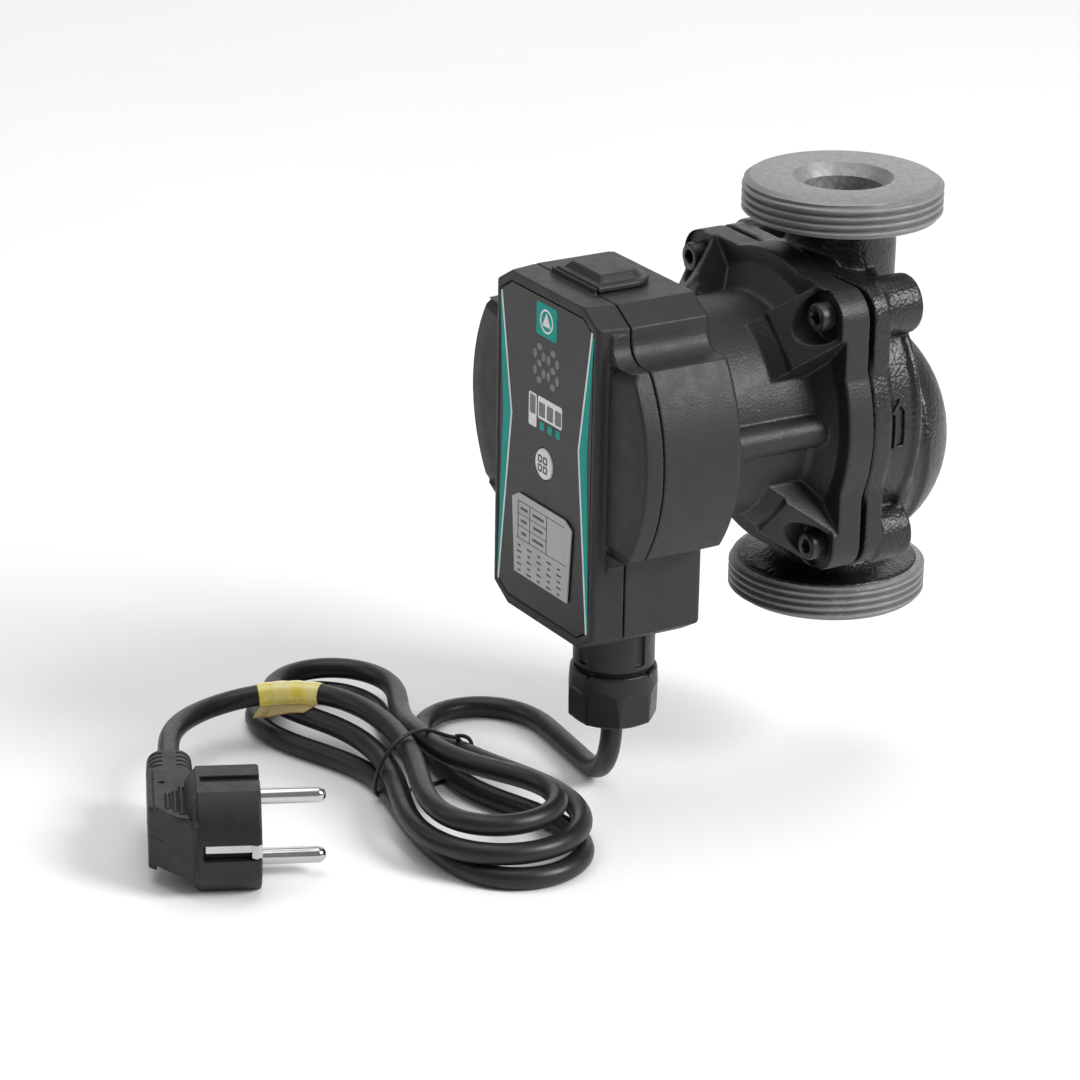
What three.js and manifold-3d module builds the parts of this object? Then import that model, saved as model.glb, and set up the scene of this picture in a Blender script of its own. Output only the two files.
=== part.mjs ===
// Wet-rotor heating circulator with its mains lead and plug.
//
// Frame, in millimetres: the origin is the centre of the lower port face, +Z runs up the pipe,
// the motor and its control box point to -Y, and +X is to the right seen from the control box.

import * as THREE from 'three';
import { mergeVertices } from 'three/addons/utils/BufferGeometryUtils.js';
import Module from 'manifold-3d';

const wasm = await Module();
wasm.setup();

// ---------------------------------------------------------------- driving dimensions

const GAP = 0.3;                    // clearance between pieces that touch
const ROUND = 40;                   // sides of a large round surface
const SMALL_ROUND = 16;             // sides of a small round surface

const PORT_LENGTH = 130;            // face to face between the two ports
const THREAD_RADIUS = 29.8;         // G2 union thread
const THREAD_PITCH = 2.309;
const PORT_FACE_RADIUS = 27.6;
const PORT_BORE = 12;
const PORT_CONE_RADIUS = 14.75;
const PORT_CONE_DEPTH = 3.4;
const NECK_RADIUS = 16.5;

const AXIS_Z = 65.5;                // height of the motor axis
const JOINT_Y = -17.3;              // face between casing and motor
const FLANGE_RADIUS = 45.5;
const FLANGE_HALF_X = 42;
const FLANGE_HALF_Z = 42.8;
const FLANGE_CORNER = 8.8;
const LUG_RELIEF = 0.9;             // each lug stands back from the joint by this much
const SCREW_X = 33.3;
const SCREW_Z = 35;
const SCREW_HEAD_Y = -31.5;
const SCREW_SEAT_Y = -26.5;
const SCREW_END_Y = -4.5;
const SCREW_RADIUS = 2.5;
const SCREW_HEAD_RADIUS = 4.25;

const MOTOR_RADIUS = 32.7;
const MOTOR_FRONT_Y = -65;
const STATOR_RADIUS = 28.4;
const SHAFT_RADIUS = 4;

const BOX_FRONT_Y = -101.2;
const BOX_SEAM_Y = -91.5;
const BOX_BACK_Y = -65.3;
const BOX_TOP = 110.5;
const BOX_BOTTOM = 7.4;
const BOX_WALL = 2.2;
const WING_RADIUS = 49.2;
const WING_Z = 67.9;
const WING_HALF_HEIGHT = 28.3;
const WING_FRONT_Y = -97.6;

const BUTTON_Z = 57.4;
const BUTTON_RADIUS = 4.7;

const GLAND_Y = -75.7;
const GLAND_THREAD = 6;              // radius of the gland's thread through the box wall
const NUT_TOP = -9.7;
const NUT_BOTTOM = -28.2;

const FLOOR_Z = -54;                // the surface that the lead and the plug lie on
const CORD_RADIUS = 3.25;

// ---------------------------------------------------------------- helpers

const V2 = (x, y) => new THREE.Vector2(x, y);
const V3 = (x, y, z) => new THREE.Vector3(x, y, z);

function toManifold(geometry) {
  const bare = geometry.clone();
  bare.deleteAttribute('normal');
  bare.deleteAttribute('uv');
  const merged = mergeVertices(bare, 1e-4);
  return new wasm.Manifold(new wasm.Mesh({
    numProp: 3,
    vertProperties: new Float32Array(merged.attributes.position.array),
    triVerts: new Uint32Array(merged.index.array),
  }));
}

function toGeometry(manifold) {
  const mesh = manifold.getMesh();
  const geometry = new THREE.BufferGeometry();
  geometry.setAttribute('position', new THREE.BufferAttribute(new Float32Array(mesh.vertProperties), 3));
  geometry.setIndex(new THREE.BufferAttribute(new Uint32Array(mesh.triVerts), 1));
  return geometry;
}

// Joins the first list of geometries and cuts the second list out of them.
function combine(joined, cuts = []) {
  let body = toManifold(joined[0]);
  for (const geometry of joined.slice(1)) body = body.add(toManifold(geometry));
  for (const geometry of cuts) body = body.subtract(toManifold(geometry));
  return toGeometry(body);
}

function overlap(a, b) {
  return toGeometry(toManifold(a).intersect(toManifold(b)));
}

// A solid of revolution about the motor axis, from [radius, y] pairs listed towards +Y.
function turnedY(profile, sides = ROUND) {
  const geometry = new THREE.LatheGeometry(profile.map(([r, y]) => V2(r, y)), sides);
  geometry.translate(0, 0, AXIS_Z);
  return geometry;
}

function turnedYAt(profile, z, sides) {
  const geometry = turnedY(profile, sides);
  geometry.translate(0, 0, z - AXIS_Z);
  return geometry;
}

// A solid of revolution about a vertical axis, from [radius, z] pairs listed upwards.
function turnedZ(profile, x = 0, y = 0, sides = ROUND) {
  const geometry = new THREE.LatheGeometry(profile.map(([r, z]) => V2(r, z)), sides);
  geometry.rotateX(Math.PI / 2);
  geometry.translate(x, y, 0);
  return geometry;
}

function rod(radius, y0, y1, x = 0, z = AXIS_Z, sides = SMALL_ROUND) {
  const geometry = new THREE.CylinderGeometry(radius, radius, y1 - y0, sides);
  geometry.translate(x, (y0 + y1) / 2, z);
  return geometry;
}

function post(radius, z0, z1, x = 0, y = 0, sides = SMALL_ROUND) {
  const geometry = new THREE.CylinderGeometry(radius, radius, z1 - z0, sides);
  geometry.rotateX(Math.PI / 2);
  geometry.translate(x, y, (z0 + z1) / 2);
  return geometry;
}

function box(x0, x1, y0, y1, z0, z1) {
  const geometry = new THREE.BoxGeometry(x1 - x0, y1 - y0, z1 - z0);
  geometry.translate((x0 + x1) / 2, (y0 + y1) / 2, (z0 + z1) / 2);
  return geometry;
}

function tube(outer, inner, y0, y1, sides = 28) {
  return turnedY([[inner, y0], [outer, y0], [outer, y1], [inner, y1], [inner, y0]], sides);
}

// A prism along Y from a front-view outline of [x, z] pairs.
function prismY(outline, y0, y1) {
  const shape = outline instanceof THREE.Shape ? outline : new THREE.Shape(outline.map(([x, z]) => V2(x, z)));
  const options = { depth: y1 - y0, bevelEnabled: false, curveSegments: 8 };
  const geometry = new THREE.ExtrudeGeometry(shape, options);
  geometry.rotateX(Math.PI / 2);
  geometry.translate(0, y1, 0);
  return geometry;
}

// A prism along Z from a top-view outline of [x, y] pairs.
function prismZ(outline, z0, z1) {
  const shape = outline instanceof THREE.Shape ? outline : new THREE.Shape(outline.map(([x, y]) => V2(x, y)));
  const options = { depth: z1 - z0, bevelEnabled: false, curveSegments: 8 };
  const geometry = new THREE.ExtrudeGeometry(shape, options);
  geometry.translate(0, 0, z0);
  return geometry;
}

// A closed skin over rings of points that all have the same count, the first and last ring capped.
function skin(rings) {
  const count = rings[0].length;
  const positions = rings.flat().flatMap((p) => [p.x, p.y, p.z]);
  const index = [];
  for (let ring = 0; ring + 1 < rings.length; ring += 1) {
    for (let i = 0; i < count; i += 1) {
      const a = ring * count + i;
      const b = ring * count + ((i + 1) % count);
      index.push(a, b, b + count, a, b + count, a + count);
    }
  }
  for (let i = 1; i + 1 < count; i += 1) {
    const last = (rings.length - 1) * count;
    index.push(0, i + 1, i, last, last + i, last + i + 1);
  }
  const geometry = new THREE.BufferGeometry();
  geometry.setAttribute('position', new THREE.Float32BufferAttribute(positions, 3));
  geometry.setIndex(index);
  return geometry;
}

// Points of an arc about (cx, cz), angles in degrees, both ends included.
function arc(cx, cz, radius, from, to, steps) {
  return Array.from({ length: steps + 1 }, (_, i) => {
    const angle = THREE.MathUtils.degToRad(from + ((to - from) * i) / steps);
    return [cx + radius * Math.cos(angle), cz + radius * Math.sin(angle)];
  });
}

// A right half outline, listed from its lowest to its highest point, closed by its mirror image.
function mirrored(rightHalf) {
  return [...rightHalf, ...rightHalf.map(([x, z]) => [-x, z]).reverse()];
}

// The same outline on the right (side = 1) or mirrored to the left (side = -1).
function onSide(outline, side) {
  return side > 0 ? outline : outline.map(([x, z]) => [-x, z]).reverse();
}

function roundedRectangle(halfX, halfZ, corner, cz = 0, steps = 6) {
  return [
    ...arc(halfX - corner, cz - halfZ + corner, corner, -90, 0, steps),
    ...arc(halfX - corner, cz + halfZ - corner, corner, 0, 90, steps),
    ...arc(-halfX + corner, cz + halfZ - corner, corner, 90, 180, steps),
    ...arc(-halfX + corner, cz - halfZ + corner, corner, 180, 270, steps),
  ];
}

const root = new THREE.Group();
root.name = 'circulator_pump';

const finish = (color, roughness, metalness = 0) =>
  new THREE.MeshStandardMaterial({ color, roughness, metalness });

function addPart(name, geometry, material, parent = root) {
  const mesh = new THREE.Mesh(geometry, material);
  mesh.name = name;
  parent.add(mesh);
  return mesh;
}

const SCREWS = [
  ['upper_left', -SCREW_X, SCREW_Z],
  ['upper_right', SCREW_X, SCREW_Z],
  ['lower_left', -SCREW_X, -SCREW_Z],
  ['lower_right', SCREW_X, -SCREW_Z],
].map(([place, x, dz]) => ({ place, x, z: AXIS_Z + dz, angle: Math.atan2(dz, x) }));

// ---------------------------------------------------------------- casing

// One threaded port flange standing on z = 0.
function portFlange() {
  const CRESTS = 4;
  const FIRST_CREST = 2.8;
  const ROOT_RADIUS = 28.5;
  const TOP_RADIUS = 28;
  const FLANGE_HEIGHT = 11.6;
  const profile = [[0, 0], [PORT_FACE_RADIUS, 0], [ROOT_RADIUS, FIRST_CREST - THREAD_PITCH / 2]];
  for (let i = 0; i < CRESTS; i += 1) {
    const z = FIRST_CREST + i * THREAD_PITCH;
    profile.push([THREAD_RADIUS, z], [ROOT_RADIUS, z + THREAD_PITCH / 2]);
  }
  profile.push([TOP_RADIUS, FLANGE_HEIGHT], [0, FLANGE_HEIGHT]);
  return turnedZ(profile, 0, 0, 36);
}

function flipPort(geometry) {
  geometry.rotateX(Math.PI);
  geometry.translate(0, 0, PORT_LENGTH);
  return geometry;
}

const lugPlate = roundedRectangle(FLANGE_HALF_X, FLANGE_HALF_Z, FLANGE_CORNER, AXIS_Z);
const CASING_STEP_Y = -10.5;
const DRUM_RADIUS = 43.5;
const DRUM_BACK_Y = 0;
const MOUTH_RADIUS = 38;
const MOUTH_SHELF_Y = -12.3;
const CHAMBER_RADIUS = 34;
const CHAMBER_BACK_Y = -2.5;
const WEAR_RING_RADIUS = 14.5;

function casing() {
  const BOSS_RADIUS = 8.8;
  const BELLY = { halfX: 40, halfY: 30.7, halfZ: 36.4, z: 53.4 };
  const belly = new THREE.SphereGeometry(1, 20, 14);
  belly.scale(BELLY.halfX, BELLY.halfY, BELLY.halfZ);
  belly.translate(0, 0, BELLY.z);
  const bellyRoom = box(-60, 60, DRUM_BACK_Y - 2, 60, 12, 120);
  const neckFoot = [[0, 10], [NECK_RADIUS + 2.5, 10], [NECK_RADIUS, 15], [NECK_RADIUS, 50], [0, 50]];
  const joined = [
    portFlange(),
    flipPort(portFlange()),
    turnedZ(neckFoot, 0, 0, 28),
    flipPort(turnedZ(neckFoot, 0, 0, 28)),
    rod(FLANGE_RADIUS, JOINT_Y, CASING_STEP_Y, 0, AXIS_Z, ROUND),
    rod(DRUM_RADIUS, CASING_STEP_Y - 0.5, DRUM_BACK_Y, 0, AXIS_Z, ROUND),
    prismY(lugPlate, JOINT_Y + LUG_RELIEF, CASING_STEP_Y),
    overlap(belly, bellyRoom),
  ];
  for (const { x, z } of SCREWS) {
    joined.push(rod(BOSS_RADIUS, CASING_STEP_Y - 0.5, DRUM_BACK_Y, x, z));
  }
  const cone = [[0, -1], [PORT_CONE_RADIUS + 0.8, -1], [PORT_BORE, PORT_CONE_DEPTH]];
  const inlet = [...cone, [PORT_BORE, 14], [9, 20], [0, 20]];
  const outlet = [...cone, [PORT_BORE, 24], [10.5, 27], [10.5, 38], [0, 38]];
  // The inlet leans back behind the impeller chamber and turns forward into the impeller eye.
  const LEAN = { radius: 9.6, foot: V3(0, 0.5, 12), head: V3(0, 15.5, 50) };
  const climb = LEAN.head.clone().sub(LEAN.foot);
  const riser = new THREE.CylinderGeometry(LEAN.radius, LEAN.radius, climb.length(), 20);
  riser.applyQuaternion(new THREE.Quaternion().setFromUnitVectors(V3(0, 1, 0), climb.clone().normalize()));
  riser.translate(0, (LEAN.foot.y + LEAN.head.y) / 2, (LEAN.foot.z + LEAN.head.z) / 2);
  const suction = new THREE.SphereGeometry(14.5, 16, 12);
  suction.translate(0, 12.5, 60);
  const cuts = [
    turnedZ(inlet, 0, 0, 28),
    flipPort(turnedZ(outlet, 0, 0, 28)),
    riser,
    suction,
    rod(WEAR_RING_RADIUS, CHAMBER_BACK_Y - 1, 3, 0, AXIS_Z, 28),
    rod(CHAMBER_RADIUS, MOUTH_SHELF_Y - 1, CHAMBER_BACK_Y, 0, AXIS_Z, 32),
    rod(MOUTH_RADIUS, JOINT_Y - 1, MOUTH_SHELF_Y, 0, AXIS_Z, 32),
  ];
  for (const { x, z } of SCREWS) {
    cuts.push(rod(SCREW_RADIUS + GAP, JOINT_Y - 1, SCREW_END_Y + 1, x, z));
  }
  return combine(joined, cuts);
}

const castIron = () => finish(0x17181a, 0.45, 0.2);
const steel = () => finish(0xb9bcc0, 0.3, 0.9);
const blackPlastic = () => finish(0x1c1d1f, 0.55);

addPart('volute_casing', casing(), castIron());

addPart('wear_ring', tube(WEAR_RING_RADIUS - GAP, 12.5, CHAMBER_BACK_Y - 0.3, 1.2), steel());

addPart('casing_gasket', tube(MOUTH_RADIUS - GAP, 34.6, -14.9, MOUTH_SHELF_Y - GAP), finish(0x101010, 0.9));

// ---------------------------------------------------------------- motor housing and its screws

function motorHousing() {
  const RING_Y = -26;
  const CONE_RADIUS = 39.6;
  const LUG_FRONT_Y = -27.8;
  const GUSSET_HALF_WIDTH = 9.75;
  const POCKET_RADIUS = 7.5;
  const RIB_RADIUS = 4.9;
  const RIB_END_Y = -28;
  const BACK_Y = JOINT_Y - GAP;
  const CAN_SEAT_Y = -20;
  const STATOR_SEAT_Y = -22;
  const joined = [
    turnedY([
      [0, MOTOR_FRONT_Y], [MOTOR_RADIUS - 0.6, MOTOR_FRONT_Y],
      [MOTOR_RADIUS, -31.5], [MOTOR_RADIUS + 1.2, -30.2],
      [CONE_RADIUS, RING_Y], [FLANGE_RADIUS - 0.6, RING_Y],
      [FLANGE_RADIUS, RING_Y + 0.6], [FLANGE_RADIUS, BACK_Y],
      [0, BACK_Y],
    ]),
    prismY(lugPlate, RING_Y, BACK_Y - LUG_RELIEF + 0.5),
  ];
  // Side view of a gusset: distance from the motor axis against y.
  const wedge = [
    [29, -43.5], [32.4, -43.5], [36.2, -40.8], [48.8, LUG_FRONT_Y], [60, LUG_FRONT_Y], [60, -19], [29, -19],
  ];
  const lugBlock = prismY(lugPlate, -60, -18.5);
  const cuts = [];
  for (const { x, z, angle } of SCREWS) {
    const shape = new THREE.Shape(wedge.map(([s, y]) => V2(s, y)));
    const gusset = new THREE.ExtrudeGeometry(shape, { depth: 2 * GUSSET_HALF_WIDTH, bevelEnabled: false });
    gusset.translate(0, 0, -GUSSET_HALF_WIDTH);
    gusset.rotateY(-angle);
    gusset.translate(0, 0, AXIS_Z);
    joined.push(overlap(gusset, lugBlock));
    cuts.push(rod(POCKET_RADIUS, -60, SCREW_SEAT_Y, x, z, 24));
    cuts.push(rod(SCREW_RADIUS + GAP, -30, -10, x, z));
  }
  for (const side of [-1, 1]) {
    joined.push(rod(RIB_RADIUS, MOTOR_FRONT_Y, RIB_END_Y, side * (MOTOR_RADIUS + 0.2), AXIS_Z + 0.5));
  }
  cuts.push(
    rod(MOUTH_RADIUS - 3, CAN_SEAT_Y, -10, 0, AXIS_Z, 32),
    rod(STATOR_RADIUS + 2 * GAP, MOTOR_FRONT_Y - 5, STATOR_SEAT_Y, 0, AXIS_Z, 32),
    rod(24, STATOR_SEAT_Y - 5, -10, 0, AXIS_Z, 32),
  );
  return combine(joined, cuts);
}

addPart('motor_housing', motorHousing(), finish(0x1d1e20, 0.5, 0.3));

function capScrew(x, z) {
  const SOCKET_RADIUS = 2.31;
  const SOCKET_DEPTH = 2.6;
  const head = [
    [0, SCREW_HEAD_Y], [SCREW_HEAD_RADIUS - 0.5, SCREW_HEAD_Y], [SCREW_HEAD_RADIUS, SCREW_HEAD_Y + 0.5],
    [SCREW_HEAD_RADIUS, SCREW_SEAT_Y - GAP], [SCREW_RADIUS, SCREW_SEAT_Y - GAP],
    [SCREW_RADIUS, SCREW_END_Y - 0.8], [SCREW_RADIUS - 0.8, SCREW_END_Y], [0, SCREW_END_Y],
  ];
  const screw = turnedY(head, SMALL_ROUND);
  screw.translate(x, 0, z - AXIS_Z);
  return combine([screw], [rod(SOCKET_RADIUS, SCREW_HEAD_Y - 1, SCREW_HEAD_Y + SOCKET_DEPTH, x, z, 6)]);
}

for (const { place, x, z } of SCREWS) {
  addPart(`flange_screw_${place}`, capScrew(x, z), finish(0x141416, 0.35, 0.7));
}

// ---------------------------------------------------------------- stator and rotor can

const SLOTS = 6;
const STATOR_INNER = 15.4;
const CORE_BACK_Y = -25.5;
const CORE_FRONT_Y = -54;

// A sector of a ring, in front view, centred on an angle in degrees.
function ringSector(inner, outer, centre, width, steps = 3) {
  return [
    ...arc(0, AXIS_Z, outer, centre - width / 2, centre + width / 2, steps),
    ...arc(0, AXIS_Z, inner, centre + width / 2, centre - width / 2, steps),
  ];
}

function statorCore() {
  const cuts = [];
  for (let i = 0; i < SLOTS; i += 1) {
    cuts.push(prismY(ringSector(17.2, 25.2, (360 / SLOTS) * i, 32), CORE_FRONT_Y - 1, CORE_BACK_Y + 1));
    cuts.push(prismY(ringSector(14, 18, (360 / SLOTS) * i, 8), CORE_FRONT_Y - 1, CORE_BACK_Y + 1));
  }
  return combine([tube(STATOR_RADIUS, STATOR_INNER, CORE_FRONT_Y, CORE_BACK_Y)], cuts);
}

function statorWindings() {
  const joined = [
    tube(25, 17.6, CORE_FRONT_Y - 6, CORE_FRONT_Y - GAP),
    tube(23.5, 17.6, CORE_BACK_Y + GAP, CORE_BACK_Y + 3),
  ];
  for (let i = 0; i < SLOTS; i += 1) {
    joined.push(prismY(ringSector(17.9, 24.6, (360 / SLOTS) * i, 28), CORE_FRONT_Y - 1, CORE_BACK_Y + 1));
  }
  return combine(joined);
}

addPart('stator_core', statorCore(), finish(0x6a6d72, 0.5, 0.7));
addPart('stator_windings', statorWindings(), finish(0xa4552a, 0.4, 0.6));

const CAN_OUTER = 15.1;
const CAN_INNER = 14.5;

addPart('rotor_can', turnedY([
  [0, -63], [9.6, -63], [9.6, -53], [CAN_OUTER, -52], [CAN_OUTER, -19.4], [33.5, -19.4], [33.5, -18.8],
  [CAN_INNER, -18.8], [CAN_INNER, -51.5], [9, -52.4], [9, -62.4], [0, -62.4],
], 24), steel());

addPart('bearing_plate', turnedY([
  [8.3, -22.5], [10.5, -22.5], [10.5, -17.1], [MOUTH_RADIUS - GAP, -17.1], [MOUTH_RADIUS - GAP, -15.3],
  [8.3, -15.3], [8.3, -22.5],
], 28), steel());

addPart('front_bearing', tube(8.7, SHAFT_RADIUS + 0.1, -61.5, -54, 20), finish(0x2b2b2e, 0.4));
addPart('rear_bearing', tube(8, SHAFT_RADIUS + 0.1, -22.3, -15.5, 20), finish(0x2b2b2e, 0.4));

// ---------------------------------------------------------------- rotor

const rotor = new THREE.Group();
rotor.name = 'rotor';
root.add(rotor);

const IMPELLER_RADIUS = 30;

addPart('rotor_shaft', rod(SHAFT_RADIUS, -60.5, -5.2, 0, AXIS_Z, 20), finish(0xe8e6df, 0.3), rotor);
addPart('rotor_magnet', tube(13, SHAFT_RADIUS + GAP, -50.5, -24.5), finish(0x3a3b40, 0.5, 0.5), rotor);
addPart('rotor_sleeve', tube(13.8, 13.3, -50.5, -24.5), steel(), rotor);
addPart('thrust_washer', tube(8, SHAFT_RADIUS + GAP, -53, -51, 20), finish(0x8a7f5a, 0.6), rotor);

function impeller() {
  const BLADES = 7;
  const BACK_Y = -12.5;
  const DISC = 1.2;
  const BLADE_TOP_Y = -6.4;
  const joined = [
    turnedY([
      [SHAFT_RADIUS + GAP, BACK_Y - 1.5], [7.4, BACK_Y - 1.5], [7.4, BACK_Y], [IMPELLER_RADIUS, BACK_Y],
      [IMPELLER_RADIUS, BACK_Y + DISC], [7.4, BACK_Y + DISC], [5.6, -5.6], [SHAFT_RADIUS + GAP, -5.6],
      [SHAFT_RADIUS + GAP, BACK_Y - 1.5],
    ], 28),
  ];
  const blade = [];
  const STEPS = 6;
  const INNER = 11.5;
  for (let i = 0; i <= STEPS; i += 1) {
    const t = i / STEPS;
    const radius = INNER + (IMPELLER_RADIUS - 0.5 - INNER) * t;
    const turn = -62 * t;
    blade.push([radius, turn]);
  }
  const HALF = 0.65;
  for (let b = 0; b < BLADES; b += 1) {
    const side = (sign) => blade.map(([radius, turn]) => {
      const angle = THREE.MathUtils.degToRad(turn + (360 / BLADES) * b) + (sign * HALF) / radius;
      return [radius * Math.cos(angle), AXIS_Z + radius * Math.sin(angle)];
    });
    joined.push(prismY([...side(-1), ...side(1).reverse()], BACK_Y + DISC / 2, BLADE_TOP_Y));
  }
  return combine(joined);
}

addPart('impeller', impeller(), finish(0xd8d4c8, 0.5), rotor);
addPart('impeller_cover', turnedY([
  [10.6, -6.1], [IMPELLER_RADIUS, -6.1], [IMPELLER_RADIUS, -5],
  [13, -5], [11.9, -4], [11.9, 0.6], [10.6, 0.6],
  [10.6, -6.1],
], 28), finish(0xcfcabd, 0.5), rotor);

// ---------------------------------------------------------------- control box

// Right half of the box in front view, lowest point first, with its side wing.
const CHAMFER_X = 8.4;
const CHAMFER_Z = 4.6;

function plainBox(halfX, inset = 0) {
  const x = halfX - inset;
  const low = BOX_BOTTOM + inset;
  const high = BOX_TOP - inset;
  const cut = inset * 0.4;
  return mirrored([
    [x - CHAMFER_X + cut, low], [x, low + CHAMFER_Z - cut],
    [x, high - CHAMFER_Z + cut], [x - CHAMFER_X + cut, high],
  ]);
}

const wingAngle = THREE.MathUtils.radToDeg(Math.asin(WING_HALF_HEIGHT / WING_RADIUS));

function wingedBox(halfX, radius, inset = 0) {
  const x = halfX - inset;
  const low = BOX_BOTTOM + inset;
  const high = BOX_TOP - inset;
  const cut = inset * 0.4;
  const FILLET = 6;
  const wingTop = WING_Z + WING_HALF_HEIGHT - inset;
  const wingLow = WING_Z - WING_HALF_HEIGHT + inset;
  const reach = wingAngle * (1 - inset / 30);
  const fillet = inset > 0
    ? [[x, wingTop]]
    : arc(x + FILLET, wingTop + FILLET, FILLET, 270, 180, 6);
  return mirrored([
    [x - CHAMFER_X + cut, low], [x, low + CHAMFER_Z - cut], [x, wingLow - 4.8],
    ...arc(0, WING_Z, radius - inset, -reach, reach, 10),
    ...fillet,
    [x, high - CHAMFER_Z + cut], [x - CHAMFER_X + cut, high],
  ]);
}

const ring = (outline, y) => outline.map(([x, z]) => V3(x, y, z));
const BOX_HALF_FRONT = 28.3;
const BOX_HALF_SEAM = 30;
const PANEL_HALF = 25.6;
const PANEL_LOW = 10.4;
const PANEL_HIGH = 107.3;

function panelOutline(inset) {
  const x = PANEL_HALF - inset;
  const CUT_X = 5.8;
  const CUT_Z = 3.6;
  return mirrored([
    [x - CUT_X, PANEL_LOW + inset], [x, PANEL_LOW + inset + CUT_Z],
    [x, PANEL_HIGH - inset - CUT_Z], [x - CUT_X, PANEL_HIGH - inset],
  ]);
}

function boxCover() {
  const back = BOX_SEAM_Y - GAP / 2;
  const PANEL_FLOOR_Y = -100;
  const body = skin([
    ring(plainBox(BOX_HALF_SEAM), back),
    ring(plainBox(BOX_HALF_FRONT), BOX_FRONT_Y + 0.8),
    ring(plainBox(BOX_HALF_FRONT - 0.8), BOX_FRONT_Y),
  ]);
  const wings = prismY(wingedBox(BOX_HALF_SEAM, WING_RADIUS), WING_FRONT_Y, back);
  const wingRoom = box(-60, 60, WING_FRONT_Y - 1, back + 1, WING_Z - 45, WING_Z + 35);
  const lip = box(-12, 12, back - 1.1, back, BOX_TOP - 1, 112.6);
  const hollow = wingedBox(BOX_HALF_SEAM - 1.2, WING_RADIUS, BOX_WALL);
  const cavity = prismY(hollow, WING_FRONT_Y + BOX_WALL, back + 1);
  const frontCavity = prismY(plainBox(BOX_HALF_FRONT, BOX_WALL + 0.6), -98.4, back + 1);
  const cuts = [
    prismY(panelOutline(0), BOX_FRONT_Y - 1, PANEL_FLOOR_Y),
    cavity,
    frontCavity,
    rod(BUTTON_RADIUS + GAP, -110, -90, 0, BUTTON_Z, 20),
  ];
  // A shallow dish in the front of each wing and the deep groove beside the box.
  const DISH_RADIUS = 42.6;
  const dish = arc(0, WING_Z, DISH_RADIUS, -30, 30, 12).concat([[31, WING_Z + 21.3], [31, WING_Z - 21.3]]);
  const groove = [[28.6, WING_Z - 29], [31.4, WING_Z - 29], [31.4, WING_Z + 27], [28.6, WING_Z + 27]];
  for (const side of [-1, 1]) {
    cuts.push(prismY(onSide(dish, side), WING_FRONT_Y - 1, WING_FRONT_Y + 0.7));
    cuts.push(prismY(onSide(groove, side), WING_FRONT_Y - 1, WING_FRONT_Y + 1.6));
  }
  return combine([body, overlap(wings, wingRoom), lip], cuts);
}

const CAP_Y = -81;
const CAP_HOLE = 8.6;
const POSTS = [[-21, 24], [21, 24], [-21, 98], [21, 98]];
const BOARD_Y = -92.1;

function boxShell() {
  const front = BOX_SEAM_Y + GAP / 2;
  const EDGE = 1.2;
  const outer = [
    prismY(wingedBox(BOX_HALF_SEAM, WING_RADIUS), front, BOX_BACK_Y - EDGE),
    prismY(wingedBox(BOX_HALF_SEAM - EDGE / 2, WING_RADIUS - EDGE / 2), front + 2, BOX_BACK_Y),
  ];
  const cuts = [
    prismY(wingedBox(BOX_HALF_SEAM, WING_RADIUS, BOX_WALL), front - 1, BOX_BACK_Y - BOX_WALL),
    rod(26, -80, -60, 0, AXIS_Z, 28),
    post(CAP_HOLE + GAP, BOX_TOP - 6, BOX_TOP + 5, 0, CAP_Y, 20),
    post(GLAND_THREAD + GAP, 0, 15, 0, GLAND_Y, 20),
  ];
  const hollow = combine(outer, cuts);
  const pillars = POSTS.map(([x, z]) => rod(2.6, -91, BOX_BACK_Y - 0.5, x, z, 10));
  return combine([hollow, ...pillars]);
}

addPart('control_box_cover', boxCover(), blackPlastic());
addPart('control_box_shell', boxShell(), blackPlastic());

addPart('front_overlay', combine(
  [prismY(panelOutline(GAP), -101, -100.3)],
  [rod(BUTTON_RADIUS + GAP, -110, -90, 0, BUTTON_Z, 20)],
), finish(0x1a1b1c, 0.4));

addPart('rating_label', prismY(mirrored([[14.9, 19.5], [16.7, 42.4], [13, 44.5]]), -101.7, -101.3),
  finish(0xd9dadb, 0.5));

addPart('mode_button', turnedYAt([
  [0, -101.6], [BUTTON_RADIUS - 0.4, -101.6], [BUTTON_RADIUS, -101.2], [BUTTON_RADIUS, -98.1],
  [BUTTON_RADIUS + 1, -98.1], [BUTTON_RADIUS + 1, -97.3], [2, -97.3], [2, -96.2], [0, -96.2],
], BUTTON_Z, 20), finish(0xe6e7e8, 0.4));

const DOME = [[0, -95.5], [1.6, -95.5], [3.6, -94.3], [0, -94.3]];
addPart('button_dome', turnedYAt(DOME, BUTTON_Z, 20), steel());
addPart('control_board', combine(
  [box(-24.5, 24.5, BOARD_Y - 1.6, BOARD_Y, 18, 102)],
  POSTS.map(([x, z]) => rod(1.4, -100, -85, x, z, 12)),
), finish(0x1f5a34, 0.5));
addPart('filter_capacitor', post(7, 72, 98, 0, BOARD_Y + 8.5, 20), finish(0x20242c, 0.4));
addPart('terminal_block', box(-10, 10, BOARD_Y + 0.4, BOARD_Y + 12, 22, 36), finish(0x2f6b43, 0.5));

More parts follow.
